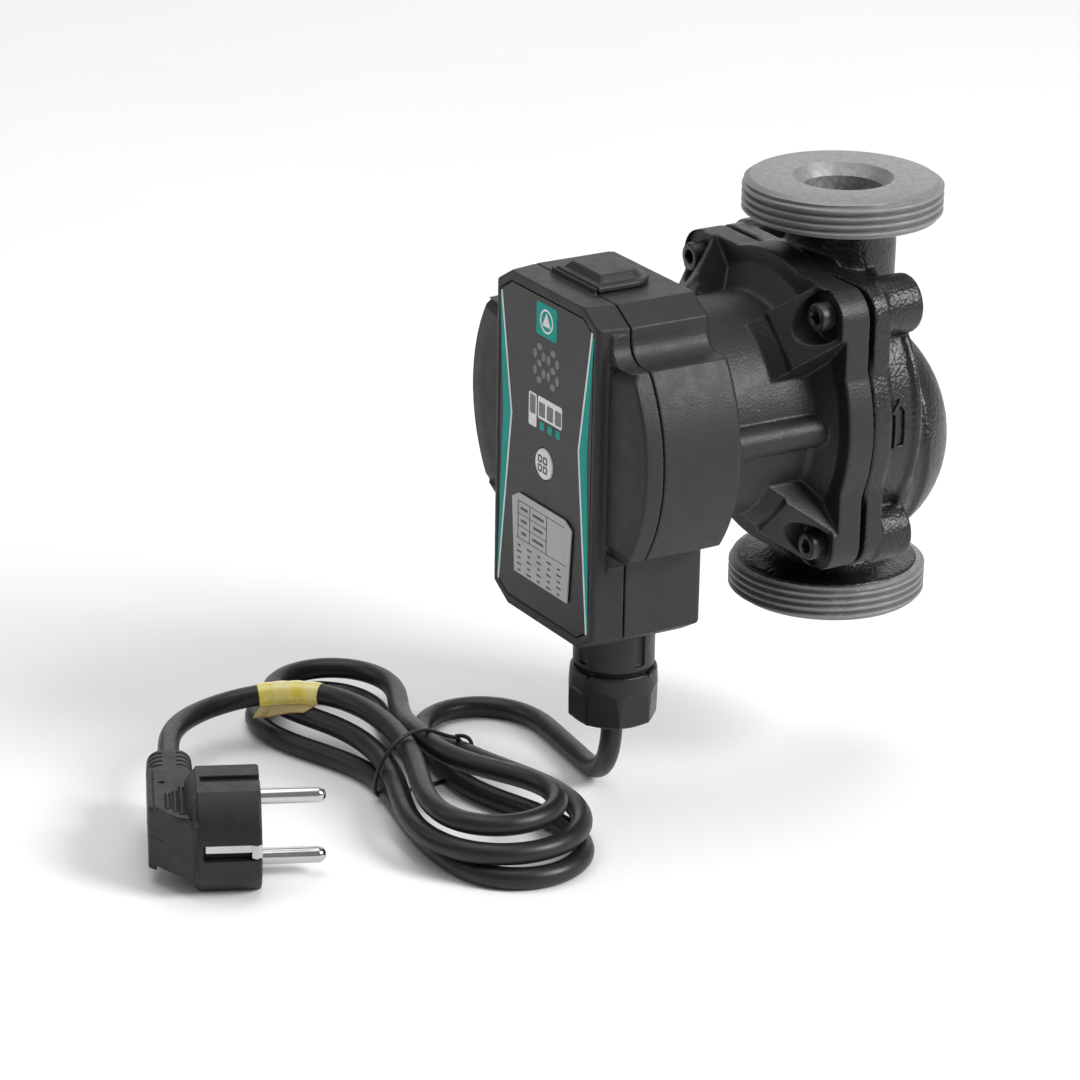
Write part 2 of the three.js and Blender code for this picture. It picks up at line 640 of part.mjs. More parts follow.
// The D-shaped cap over the second cable entry, with its spigot in the shell.
function entryCap() {
  const HALF = 12;
  const STRAIGHT_Y = BOX_SEAM_Y + GAP / 2;
  const base = (inset, z0, z1) => prismZ([
    [-HALF + inset, STRAIGHT_Y + inset * 0.6], [HALF - inset, STRAIGHT_Y + inset * 0.6],
    ...arc(HALF - 8, -79, 8 - inset, 0, 90, 6), ...arc(-HALF + 8, -79, 8 - inset, 90, 180, 6),
  ], z0, z1);
  const capRing = (inset, z) => [
    V3(-HALF + inset, STRAIGHT_Y + inset * 0.75, z), V3(HALF - inset, STRAIGHT_Y + inset * 0.75, z),
    ...arc(HALF - 8, -79, 8 - inset, 0, 90, 6).map(([x, y]) => V3(x, y, z)),
    ...arc(-HALF + 8, -79, 8 - inset, 90, 180, 6).map(([x, y]) => V3(x, y, z)),
  ];
  const step = skin([capRing(2.4, 112), capRing(2.4, 112.8), capRing(4, 114.7)]);
  const spigot = post(CAP_HOLE, BOX_TOP - 4, BOX_TOP + 1, 0, CAP_Y, 20);
  return combine([base(0, BOX_TOP + GAP, 112.6), step, spigot]);
}

addPart('cable_entry_cap', entryCap(), blackPlastic());

// ---------------------------------------------------------------- cable gland

function ngonZ(radius, z, sides, turn = 0) {
  return Array.from({ length: sides }, (_, i) => {
    const angle = turn + (2 * Math.PI * i) / sides;
    return V3(radius * Math.cos(angle), GLAND_Y + radius * Math.sin(angle), z);
  });
}

function glandBody() {
  const joined = [
    post(12.2, NUT_TOP + GAP, BOX_BOTTOM - GAP, 0, GLAND_Y, 24),
    post(GLAND_THREAD, 0, 13.6, 0, GLAND_Y, 20),
    post(9.6, -18.5, NUT_TOP + 1, 0, GLAND_Y, 24),
  ];
  for (let i = 0; i < 4; i += 1) {
    const key = box(-2.6, 2.6, 11, 12.9, NUT_TOP + 0.6, -1);
    key.rotateZ((Math.PI / 2) * i + Math.PI / 4);
    key.translate(0, GLAND_Y, 0);
    joined.push(key);
  }
  return combine(joined, [post(CORD_RADIUS + GAP, -40, 20, 0, GLAND_Y, 16)]);
}

function glandNut() {
  const TURN = Math.PI / 8;
  const body = skin([
    ngonZ(6.6, NUT_BOTTOM, 8, TURN), ngonZ(12.7, -25.5, 8, TURN), ngonZ(13.4, NUT_TOP - 2.2, 8, TURN),
    ngonZ(12.7, NUT_TOP, 8, TURN),
  ]);
  return combine([body], [
    post(CORD_RADIUS + GAP, -40, 0, 0, GLAND_Y, 16),
    post(9.9, -24, NUT_TOP + 1, 0, GLAND_Y, 24),
  ]);
}

addPart('gland_body', glandBody(), blackPlastic());
addPart('gland_locknut', combine(
  [skin([ngonZ(7.8, BOX_BOTTOM + BOX_WALL + GAP, 6), ngonZ(7.8, 13.2, 6)])],
  [post(GLAND_THREAD + GAP, 0, 20, 0, GLAND_Y, 20)],
), blackPlastic());
addPart('gland_seal', combine(
  [post(9.6, -23.7, -18.8, 0, GLAND_Y, 24)],
  [post(CORD_RADIUS + GAP, -40, 0, 0, GLAND_Y, 16)],
), finish(0x0e0e0f, 0.9));
addPart('gland_nut', glandNut(), blackPlastic());
addPart('supply_cable_end', post(CORD_RADIUS, NUT_BOTTOM + 0.6, 21, 0, GLAND_Y, 16), finish(0x161718, 0.6));

// ---------------------------------------------------------------- mains lead

const CORD_Z = FLOOR_Z + CORD_RADIUS;

function cordAlong(points) {
  const curve = new THREE.CatmullRomCurve3(points.map(([x, y, z]) => V3(x, y, z)), false, 'centripetal');
  const SIDES = 10;
  const STEP = 2 * CORD_RADIUS;
  const section = Array.from({ length: SIDES }, (_, i) => {
    const angle = (2 * Math.PI * i) / SIDES;
    return V2(CORD_RADIUS * Math.cos(angle), CORD_RADIUS * Math.sin(angle));
  });
  const steps = Math.round(curve.getLength() / STEP);
  const options = { steps, extrudePath: curve, bevelEnabled: false };
  return new THREE.ExtrudeGeometry(new THREE.Shape(section), options);
}

const LEAD_ROUTE = [
  [0, -75.7, -28.6], [-0.2, -75.7, -33], [-1.9, -75.4, -39.5],
  [-5.8, -74.7, -45], [-11.5, -73.7, -49], [-19, -72.4, CORD_Z],
  [-28, -71.3, CORD_Z], [-42, -70.1, CORD_Z], [-55.5, -70, CORD_Z], [-66.4, -73.5, CORD_Z],
  [-73.1, -82.8, CORD_Z], [-73.1, -94.2, CORD_Z], [-70.4, -99.5, CORD_Z],
];

const TAIL_ROUTE = [
  [-53, -196.9, -38.5], [-59.9, -193.6, -38.5], [-67.8, -189.7, -38.7],
  [-75.4, -185, -39], [-82, -178.9, -39.5],
  [-86.9, -171.3, -39.8], [-89.1, -164.8, -39.8], [-89.6, -158, -39.6], [-89.2, -151.4, -38.9],
];

const cordRubber = () => finish(0x1a1b1c, 0.5);

addPart('cord_lead', cordAlong(LEAD_ROUTE), cordRubber());
addPart('cord_tail', cordAlong(TAIL_ROUTE), cordRubber());

// The hank: one closed body of the bundle's outer shape, pinched at the tie.
function hankOutline(inset) {
  const RIGHT = { x: 18, y: -122.9, radius: 27.6 - inset };
  const LEFT = { x: -88, y: -125.3, radius: 25.2 - inset };
  return [
    ...arc(RIGHT.x, RIGHT.y, RIGHT.radius, -90, 90, 14),
    [-12, -99.5 - inset], [-44, -105.5 - inset], [-66, -103.6 - inset],
    ...arc(LEFT.x, LEFT.y, LEFT.radius, 90, 270, 14),
    [-66, -144.6 + inset], [-44, -138 + inset], [-12, -145.5 + inset],
  ];
}

const HANK_TOP = -34.2;
const TIE_DEPTH = 1.6;
const TIE_CENTRE = V3(-32.5, -122, -44);
const TIE_WIDTH = 3.6;

function tieSlab(width) {
  const slab = box(-width / 2, width / 2, -45, 45, -30, 30);
  slab.translate(TIE_CENTRE.x, TIE_CENTRE.y, TIE_CENTRE.z);
  return slab;
}

const hankBlock = (inset) => prismZ(hankOutline(inset), FLOOR_Z + inset, HANK_TOP - inset);

addPart('cord_hank', combine(
  [hankBlock(0)],
  [combine([tieSlab(TIE_WIDTH + 2 * GAP)], [hankBlock(TIE_DEPTH + GAP)])],
), cordRubber());
addPart('cord_tie', combine(
  [overlap(tieSlab(TIE_WIDTH), hankBlock(0))],
  [hankBlock(TIE_DEPTH)],
), finish(0x202122, 0.6));

// The tag is a folded strip of film round the lead, here its top where the lead leaves the hank.
const TAG = { length: 19.5, width: 9, thickness: 1.2, x: -88, y: -149.6, turn: -76 };

function cordTag() {
  const tag = box(-TAG.length / 2, TAG.length / 2, -TAG.width / 2, TAG.width / 2, 0, TAG.thickness);
  tag.rotateZ(THREE.MathUtils.degToRad(TAG.turn));
  tag.translate(TAG.x, TAG.y, HANK_TOP + GAP);
  return tag;
}

addPart('cord_tag', cordTag(), finish(0xe8d21c, 0.5));

// ---------------------------------------------------------------- plug

// The plug lies on its side. Its own frame: +y is where the pins point, the lead leaves along -x.
const PLUG_CENTRE = V3(-3.8, -191.9, -38.5);
const PLUG_TURN = THREE.MathUtils.degToRad(-24.6);
const PLUG_RADIUS = 18;
const PLUG_DEPTH = 18.3;
const PIN_RADIUS = 2.4;
const PIN_LENGTH = 19;
const PIN_SPREAD = 9.5;
const SLEEVE_Y = -25;

function placePlug(geometry) {
  geometry.rotateZ(PLUG_TURN);
  geometry.translate(PLUG_CENTRE.x, PLUG_CENTRE.y, PLUG_CENTRE.z);
  return geometry;
}

function plugBody() {
  const HEAD_HALF = 15.4;
  const BLOCK_HALF = 9;
  const SLOT_HALF = 2.5;
  const SLOT_FLOOR = 14.6;
  const head = overlap(
    rod(PLUG_RADIUS, -PLUG_DEPTH, 0, 0, 0, 40),
    box(-30, 30, -PLUG_DEPTH - 1, 1, -HEAD_HALF, HEAD_HALF),
  );
  const neck = skin([
    ring(roundedRectangle(17.3, HEAD_HALF - 0.6, 7, 0, 4), -PLUG_DEPTH + 0.5),
    ring(roundedRectangle(13.5, BLOCK_HALF, 5, 0, 4), -21.5),
  ]);
  const block = prismZ([
    [-23, -32], [3.5, -32], [18, -18.6], [12, -17.5], [-16, -17.5], [-23, -20],
  ], -BLOCK_HALF, BLOCK_HALF);
  const cuts = [];
  for (const side of [-1, 1]) {
    cuts.push(box(side > 0 ? SLOT_FLOOR : -30, side > 0 ? 30 : -SLOT_FLOOR, -16.5, 1, -SLOT_HALF, SLOT_HALF));
    cuts.push(rod(PIN_RADIUS + GAP, -9.3, 1, 0, side * PIN_SPREAD));
  }
  return placePlug(combine([head, neck, block], cuts));
}

addPart('plug_body', plugBody(), blackPlastic());

function plugSleeve() {
  const START = -23.3;
  const END = -42;
  const RIBS = 5;
  const RADIUS = 7.1;
  const PITCH = 3.05;
  const SLIT = 0.9;
  const profile = [[CORD_RADIUS + 0.4, 0], [RADIUS, 0]];
  for (let i = 0; i < RIBS; i += 1) {
    const radius = RADIUS - i * 0.08;
    const at = 2.5 + i * PITCH;
    profile.push([radius, at], [radius - 1.1, at], [radius - 1.1, at + SLIT], [radius, at + SLIT]);
  }
  profile.push([6.2, START - END], [CORD_RADIUS + 0.4, START - END], [CORD_RADIUS + 0.4, 0]);
  const sleeve = new THREE.LatheGeometry(profile.map(([r, y]) => V2(r, y)), 12);
  sleeve.rotateZ(Math.PI / 2);
  sleeve.translate(START, SLEEVE_Y, 0);
  return placePlug(sleeve);
}

addPart('plug_sleeve', plugSleeve(), cordRubber());

for (const [place, side] of [['upper', 1], ['lower', -1]]) {
  const pin = new THREE.LatheGeometry([
    V2(0, -9), V2(PIN_RADIUS, -9), V2(PIN_RADIUS, PIN_LENGTH - 1.6), V2(1.5, PIN_LENGTH - 0.3),
    V2(0.6, PIN_LENGTH), V2(0, PIN_LENGTH),
  ], 16);
  pin.translate(0, 0, side * PIN_SPREAD);
  addPart(`plug_pin_${place}`, placePlug(pin), finish(0xc8cacd, 0.2, 1));
}

for (const [place, side] of [['near', 1], ['far', -1]]) {
  const strip = onSide([[14.9, -16], [16.9, -16], [16.9, -1.5], [14.9, -1.5]], side);
  addPart(`plug_earth_contact_${place}`, placePlug(prismZ(strip, -2, 2)), finish(0xc8cacd, 0.25, 1));
}

export default root;
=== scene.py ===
import math

import bmesh
import bpy
from mathutils import Matrix, Vector


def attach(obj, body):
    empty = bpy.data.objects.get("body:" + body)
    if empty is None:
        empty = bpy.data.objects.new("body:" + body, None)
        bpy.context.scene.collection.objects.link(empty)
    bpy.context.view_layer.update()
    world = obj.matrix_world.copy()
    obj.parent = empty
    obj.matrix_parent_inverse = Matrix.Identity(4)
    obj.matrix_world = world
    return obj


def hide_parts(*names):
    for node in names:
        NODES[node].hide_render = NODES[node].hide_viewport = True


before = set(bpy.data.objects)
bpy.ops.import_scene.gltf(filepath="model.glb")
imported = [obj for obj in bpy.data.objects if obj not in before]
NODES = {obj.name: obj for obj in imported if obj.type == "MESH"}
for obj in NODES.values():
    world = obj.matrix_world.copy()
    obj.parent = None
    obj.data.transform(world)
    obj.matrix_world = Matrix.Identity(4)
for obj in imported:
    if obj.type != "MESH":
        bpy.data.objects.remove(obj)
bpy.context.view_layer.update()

# The circulator pump as it looks. Shapes are in millimetres in the CAD frame: origin at the centre of
# the lower port face, +Z up the pipe, motor axis along -Y at the height AXIS_Z.

MM = 0.001
SIDES = 112                                    # facets around a full circle
AXIS_Z = 65.5
GLAND_Y = -75.7


# -------------- camera

def place_camera():
    """The photograph's camera: where it looks from, a small roll, and framing offsets, in millimetres."""
    AZIMUTH, ELEVATION, ROLL = 1.0263, 0.3714, 0.0172
    AIM, DISTANCE, LENS, SENSOR = Vector((0, -40, 65)), 1206.577, 135.1503, 36
    ACROSS, UPWARD = 54.5698, 40.0370
    FIT_SCALE, FIT_LIFT = 0.9904, 0.729
    flat = math.cos(ELEVATION)
    back = Vector((math.sin(AZIMUTH) * flat, -math.cos(AZIMUTH) * flat, math.sin(ELEVATION)))
    level = Vector((math.cos(AZIMUTH), math.sin(AZIMUTH), 0))
    upright = back.cross(level)
    right = level * math.cos(ROLL) + upright * math.sin(ROLL)
    up = upright * math.cos(ROLL) - level * math.sin(ROLL)
    centre = AIM + back * DISTANCE - right * ACROSS - up * UPWARD
    centre = (centre + Vector((0, 0, FIT_LIFT))) * FIT_SCALE * MM
    data = bpy.data.cameras.new("camera")
    data.sensor_width, data.lens = SENSOR, LENS
    data.clip_start, data.clip_end = 0.05, 50
    camera = bpy.data.objects.new("camera", data)
    bpy.context.scene.collection.objects.link(camera)
    camera.matrix_world = Matrix((
        (right.x, up.x, back.x, centre.x),
        (right.y, up.y, back.y, centre.y),
        (right.z, up.z, back.z, centre.z),
        (0, 0, 0, 1),
    ))
    bpy.context.scene.camera = camera


place_camera()


# -------------- materials

class Graph:
    """Short calls for building one material's nodes."""

    def __init__(self, name):
        self.material = bpy.data.materials.new(name)
        self.material.use_nodes = True
        self.nodes = self.material.node_tree.nodes
        self.links = self.material.node_tree.links
        self.shader = self.nodes["Principled BSDF"]
        self.coords = self.nodes.new("ShaderNodeTexCoord").outputs["Object"]

    def link(self, a, b):
        self.links.new(a, b)

    def noise(self, size, detail):
        node = self.nodes.new("ShaderNodeTexNoise")
        node.inputs["Scale"].default_value = 1 / (size * MM)
        node.inputs["Detail"].default_value = detail
        node.inputs["Roughness"].default_value = 0.55
        self.link(self.coords, node.inputs["Vector"])
        return node.outputs["Fac"]

    def cells(self, size):
        node = self.nodes.new("ShaderNodeTexVoronoi")
        node.inputs["Scale"].default_value = 1 / (size * MM)
        self.link(self.coords, node.inputs["Vector"])
        return node.outputs["Distance"]

    def rings(self, period):
        node = self.nodes.new("ShaderNodeTexWave")
        node.wave_type = "RINGS"
        node.rings_direction = "Z"
        node.inputs["Scale"].default_value = 0.314 / (period * MM)
        node.inputs["Distortion"].default_value = 1.5
        node.inputs["Detail"].default_value = 2
        node.inputs["Detail Scale"].default_value = 3
        self.link(self.coords, node.inputs["Vector"])
        return node.outputs["Fac"]

    def span(self, value, low, high, to_low=0.0, to_high=1.0):
        node = self.nodes.new("ShaderNodeMapRange")
        for key, number in (("From Min", low), ("From Max", high), ("To Min", to_low), ("To Max", to_high)):
            node.inputs[key].default_value = number
        self.link(value, node.inputs["Value"])
        return node.outputs["Result"]

    def mix(self, factor, a, b):
        node = self.nodes.new("ShaderNodeMix")
        node.data_type = "RGBA"
        self.link(factor, node.inputs[0])
        for socket, value in ((node.inputs[6], a), (node.inputs[7], b)):
            if isinstance(value, (tuple, list)):
                socket.default_value = (*value, 1)
            else:
                self.link(value, socket)
        return node.outputs[2]

    def bump(self, height, depth, below=None):
        node = self.nodes.new("ShaderNodeBump")
        node.inputs["Strength"].default_value = 1.0
        node.inputs["Distance"].default_value = depth * MM
        self.link(height, node.inputs["Height"])
        if below is not None:
            self.link(below, node.inputs["Normal"])
        return node.outputs["Normal"]

    def edges(self, low, high):
        node = self.nodes.new("ShaderNodeNewGeometry")
        return self.span(node.outputs["Pointiness"], low, high)


def surface(name, colour, dark, rough, grain=(), blotch=18.0, metallic=0.0, worn=None, worn_at=(0.515, 0.57),
            coat=0.0, coat_rough=0.1, specular=0.5, turned=None):
    """A procedural finish: colour drifting to dark, roughness between two values, bump layers
    [(kind, size, depth), ...] from coarse to fine, and optionally a worn colour along edges."""
    g = Graph(name)
    base = g.mix(g.span(g.noise(blotch, 4), 0.35, 0.65), dark, colour)
    if worn is not None:
        broken = g.nodes.new("ShaderNodeMath")
        broken.operation = "MULTIPLY"
        g.link(g.edges(*worn_at), broken.inputs[0])
        g.link(g.span(g.noise(1.6, 3), 0.4, 0.62), broken.inputs[1])
        base = g.mix(broken.outputs[0], base, worn)
    g.link(base, g.shader.inputs["Base Color"])
    g.link(g.span(g.noise(blotch * 0.23, 5), 0.3, 0.7, *rough), g.shader.inputs["Roughness"])
    normal = None
    for kind, size, depth in grain:
        height = g.cells(size) if kind == "cells" else g.noise(size, 2 if kind == "noise" else 5)
        normal = g.bump(height, depth, normal)
    if turned is not None:
        normal = g.bump(g.rings(turned[0]), turned[1], normal)
    if normal is not None:
        g.link(normal, g.shader.inputs["Normal"])
    g.shader.inputs["Metallic"].default_value = metallic
    g.shader.inputs["Coat Weight"].default_value = coat
    g.shader.inputs["Coat Roughness"].default_value = coat_rough
    g.shader.inputs["Specular IOR Level"].default_value = specular
    return g.material


def grey(value, tint=1.0):
    return (value, value, value * tint)


TEAL = (0.0, 0.34, 0.29)
LOOKS = {
    "cast_iron_paint": surface("cast_paint", grey(0.011, 1.03), grey(0.007, 1.03), (0.30, 0.42),
        [("noise", 1.9, 0.15), ("cells", 1.1, 0.15), ("noise", 0.6, 0.07)], specular=0.4),
    "port_iron": surface("machined_iron", grey(0.235, 1.02), grey(0.225, 1.02), (0.5, 0.54),
        [("noise", 0.5, 0.006)], metallic=0.55, worn=grey(0.36), turned=(0.42, 0.008)),
    "motor_paint": surface("motor_paint", grey(0.012, 1.02), grey(0.009, 1.02), (0.42, 0.52),
        [("cells", 0.7, 0.06), ("noise", 0.5, 0.05)], worn=grey(0.08), worn_at=(0.53, 0.62), specular=0.4),
    "screw_black": surface("black_oxide", grey(0.016), grey(0.01), (0.34, 0.46), [("noise", 0.3, 0.01)],
        worn=grey(0.07), worn_at=(0.54, 0.64), blotch=3),
    "stainless": surface("drawn_steel", grey(0.62), grey(0.5), (0.22, 0.36), [("noise", 0.6, 0.01)],
        metallic=1),
    "gasket_rubber": surface("gasket_rubber", grey(0.02), grey(0.012), (0.7, 0.85), [("noise", 0.5, 0.03)]),
    "lamination": surface("laminations", grey(0.36), grey(0.24), (0.35, 0.5), [("noise", 0.5, 0.03)],
        metallic=0.9),
    "copper_winding": surface("enamelled_wire", (0.55, 0.2, 0.07), (0.4, 0.12, 0.04), (0.25, 0.4),
        [("cells", 0.8, 0.12)], metallic=0.8),
    "carbon_bearing": surface("carbon", grey(0.06), grey(0.03), (0.35, 0.5), [("noise", 0.3, 0.01)]),
    "ceramic_shaft": surface("ground_ceramic", (0.8, 0.79, 0.74), (0.72, 0.7, 0.65), (0.18, 0.3),
        [("noise", 0.3, 0.004)]),
    "magnet": surface("sintered_magnet", grey(0.1), grey(0.06), (0.4, 0.55), [("noise", 0.4, 0.02)],
        metallic=0.7),
    "impeller_plastic": surface("glass_filled_plastic", (0.62, 0.59, 0.52), (0.54, 0.5, 0.44), (0.4, 0.55),
        [("noise", 0.5, 0.02)]),
    "box_plastic": surface("box_plastic", grey(0.015, 1.03), grey(0.012, 1.03), (0.46, 0.56),
        [("cells", 0.5, 0.06), ("noise", 0.9, 0.03)], worn=grey(0.08), worn_at=(0.53, 0.62), specular=0.4),
    "overlay_film": surface("overlay_film", grey(0.011, 1.03), grey(0.009, 1.03), (0.32, 0.4),
        [("noise", 0.35, 0.006)], blotch=30, specular=0.4),
    "label_film": surface("label_film", grey(0.42, 1.02), grey(0.38, 1.02), (0.3, 0.42),
        [("noise", 0.5, 0.004)], blotch=9),
    "button_white": surface("button_white", grey(0.78, 1.01), grey(0.7, 1.01), (0.35, 0.45),
        [("noise", 0.4, 0.008)], blotch=5),
    "board": surface("solder_mask", (0.02, 0.2, 0.08), (0.01, 0.13, 0.05), (0.25, 0.4),
        [("cells", 1.5, 0.03)]),
    "capacitor": surface("capacitor_sleeve", (0.03, 0.035, 0.06), (0.02, 0.02, 0.04), (0.2, 0.3),
        [("noise", 1.5, 0.02)]),
    "terminal": surface("terminal_plastic", (0.06, 0.28, 0.12), (0.04, 0.2, 0.08), (0.35, 0.5),
        [("noise", 0.6, 0.02)]),
    "gland_plastic": surface("gland_plastic", grey(0.010, 1.02), grey(0.007, 1.02), (0.36, 0.48),
        [("noise", 0.5, 0.02)], worn=grey(0.07), worn_at=(0.53, 0.62), specular=0.4),
    "cord_sheath": surface("cord_sheath", grey(0.013, 1.03), grey(0.009, 1.03), (0.34, 0.44),
        [("noise", 2.4, 0.05), ("noise", 0.35, 0.012)], blotch=12, specular=0.4),
    "tie_plastic": surface("tie_wire", grey(0.012), grey(0.008), (0.3, 0.45), [("noise", 0.5, 0.02)],
        blotch=4),
    "tag_paper": surface("tag_film", (0.95, 0.84, 0.36), (0.93, 0.74, 0.05), (0.2, 0.32),
        [("rough", 6.0, 0.2), ("noise", 1.6, 0.05)], blotch=9, coat=0.8, coat_rough=0.12),
    # The tag's yellow film again, darker: painted shade for the flap, which turns down away from the light.
    "tag_flap_painted_shade": surface("tag_film_flap_painted_shade", (0.42, 0.31, 0.10), (0.34, 0.24, 0.06), (0.25, 0.4),
        [("rough", 6.0, 0.15), ("noise", 1.6, 0.05)], blotch=7),
    "plug_plastic": surface("plug_plastic", grey(0.010, 1.02), grey(0.007, 1.02), (0.42, 0.55),
        [("cells", 0.32, 0.04), ("noise", 0.5, 0.03)], specular=0.4),
    "plug_metal": surface("nickel_plate", grey(0.56, 1.01), grey(0.48, 1.01), (0.12, 0.22),
        [("noise", 0.4, 0.004)], metallic=1),
    "print_teal": surface("print_teal", TEAL, (0.0, 0.30, 0.26), (0.4, 0.5), [("noise", 0.4, 0.004)],
        specular=0.15),
    "print_white": surface("print_white", grey(0.78), grey(0.7), (0.3, 0.4), [("noise", 0.4, 0.004)],
        blotch=6),
    "print_grey": surface("print_grey", grey(0.13, 1.03), grey(0.11, 1.03), (0.2, 0.3),
        [("noise", 0.4, 0.004)]),
    "print_ink": surface("print_ink", grey(0.05), grey(0.035), (0.35, 0.45), [("noise", 0.4, 0.004)],
        blotch=6),
    "floor": surface("studio_floor", grey(0.9), grey(0.88), (0.6, 0.7), [("noise", 3.0, 0.01)], blotch=300),
}


# -------------- shapes: (vertices in mm, faces)

def to_axis(axis, a, b, along):
    """Plane coordinates a, b and a height along an axis, as a point. Across Y the plane is x, z."""
    return {"X": (along, a, b), "Y": (a, along, b), "Z": (a, b, along)}[axis]


def ring_faces(rows, closed_rows=False):
    """Faces between neighbouring rows of vertices. A row may be a single point."""
    faces = []
    for low, high in zip(rows, rows[1:] + ([rows[0]] if closed_rows else [])):
        count = max(len(low), len(high))
        for i in range(count):
            j = (i + 1) % count
            corners = [low[i % len(low)], low[j % len(low)], high[j % len(high)], high[i % len(high)]]
            face = list(dict.fromkeys(corners))
            if len(face) > 2:
                faces.append(face)
    return faces


def lathe(profile, axis="Z", a=0.0, b=0.0, sides=SIDES, closed=False):
    """A solid of revolution from (radius, height) pairs: from axis to axis, or closed as a ring."""
    verts, rows = [], []
    for radius, height in profile:
        count = sides if radius > 1e-6 else 1
        rows.append(list(range(len(verts), len(verts) + count)))
        for i in range(count):
            t = 2 * math.pi * i / sides
            verts.append(to_axis(axis, a + radius * math.cos(t), b + radius * math.sin(t), height))
    return verts, ring_faces(rows, closed)


def loft(rings):
    """A solid through rings of points that have the same count, with its ends capped."""
    count = len(rings[0])
    verts = [tuple(p) for ring in rings for p in ring]
    rows = [list(range(i * count, (i + 1) * count)) for i in range(len(rings))]
    return verts, ring_faces(rows) + [rows[0][::-1], rows[-1]]


def prism(outline, low, high, axis="Y"):
    return loft([[to_axis(axis, a, b, h) for a, b in outline] for h in (low, high)])


def oblong(a0, a1, b0, b1):
    return [(a0, b0), (a1, b0), (a1, b1), (a0, b1)]


def block(x0, x1, y0, y1, z0, z1):
    return prism(oblong(x0, x1, y0, y1), z0, z1, "Z")


def drum_profile(radius, low, high):
    return [(0, low), (radius, low), (radius, high), (0, high)]


def ellipsoid(centre, radii, rows=40, sides=72):
    profile = [(math.sin(math.pi * i / rows), -math.cos(math.pi * i / rows)) for i in range(rows + 1)]
    profile[0], profile[-1] = (0, -1), (0, 1)
    verts, faces = lathe(profile, sides=sides)
    return [tuple(c + r * v for c, r, v in zip(centre, radii, p)) for p in verts], faces


def turned_about(shape, axis, degrees, pivot=(0, 0, 0)):
    turn = Matrix.Rotation(math.radians(degrees), 4, axis)
    m = Matrix.Translation(pivot) @ turn @ Matrix.Translation([-c for c in pivot])
    return [tuple(m @ Vector(p)) for p in shape[0]], shape[1]


def moved(shape, x=0.0, y=0.0, z=0.0):
    return [(p[0] + x, p[1] + y, p[2] + z) for p in shape[0]], shape[1]


def arc(ca, cb, radius, start, end, steps):
    turns = [math.radians(start + (end - start) * i / steps) for i in range(steps + 1)]
    return [(ca + radius * math.cos(t), cb + radius * math.sin(t)) for t in turns]


def rounded(points, radius, steps=6):
    """A closed outline with every corner rounded; radius is a number or one number for each corner."""
    result = []
    for i, here in enumerate(points):
        r = radius[i] if isinstance(radius, (list, tuple)) else radius
        p, a, b = Vector(here), Vector(points[i - 1]), Vector(points[(i + 1) % len(points)])
        u, v = (a - p).normalized(), (b - p).normalized()
        if r < 1e-6 or abs(u.cross(v)) < 1e-3:
            result.append(tuple(p))
            continue
        half = u.angle(v) / 2
        reach = min(r / math.tan(half), 0.48 * (a - p).length, 0.48 * (b - p).length)
        for k in range(steps + 1):
            t = k / steps
            q = (p + u * reach) * (1 - t) ** 2 + p * 2 * t * (1 - t) + (p + v * reach) * t ** 2
            result.append(tuple(q))
    return result


def rounded_rectangle(half_a, half_b, corner, ca=0.0, cb=0.0, steps=8):
    return [*arc(ca + half_a - corner, cb - half_b + corner, corner, -90, 0, steps),
            *arc(ca + half_a - corner, cb + half_b - corner, corner, 0, 90, steps),
            *arc(ca - half_a + corner, cb + half_b - corner, corner, 90, 180, steps),
            *arc(ca - half_a + corner, cb - half_b + corner, corner, 180, 270, steps)]


def mirrored(right):
    """A right half outline, lowest point first, closed by its mirror image."""
    return [*right, *[(-a, b) for a, b in reversed(right)]]


def on_side(outline, side):
    return outline if side > 0 else [(-a, b) for a, b in reversed(outline)]


# -------------- meshes and pieces

def bare_mesh(name, shape):
    mesh = bpy.data.meshes.new(name)
    mesh.from_pydata([[c * MM for c in p] for p in shape[0]], [], shape[1])
    work = bmesh.new()
    work.from_mesh(mesh)
    bmesh.ops.recalc_face_normals(work, faces=work.faces)
    work.to_mesh(mesh)
    work.free()
    return mesh


def bare_object(name, mesh):
    thing = bpy.data.objects.new(name, mesh)
    bpy.context.scene.collection.objects.link(thing)
    return thing


def settle(thing):
    """Replaces an object's mesh with what its modifiers make of it."""
    bpy.context.view_layer.update()
    made = bpy.data.meshes.new_from_object(thing.evaluated_get(bpy.context.evaluated_depsgraph_get()))
    thing.modifiers.clear()
    thing.data = made
    return thing


CUT, KEEP = "DIFFERENCE", "INTERSECT"


def carve(first, *steps):
    """Joins, cuts or intersects shapes in turn: steps are (operation, shape)."""
    thing = bare_object("carved", bare_mesh("carved", first))
    tools = []
    for operation, shape in steps:
        tool = bare_object("tool", bare_mesh("tool", shape))
        tools.append(tool)
        modifier = thing.modifiers.new("step", "BOOLEAN")
        modifier.operation, modifier.solver, modifier.object = operation, "MANIFOLD", tool
    settle(thing)
    shape = ([tuple(c / MM for c in v.co) for v in thing.data.vertices],
             [list(p.vertices) for p in thing.data.polygons])
    for used in [thing, *tools]:
        bpy.data.objects.remove(used)
    return shape


def solid(joined, cuts=()):
    return carve(joined[0], *[("UNION", s) for s in joined[1:]], *[(CUT, s) for s in cuts])


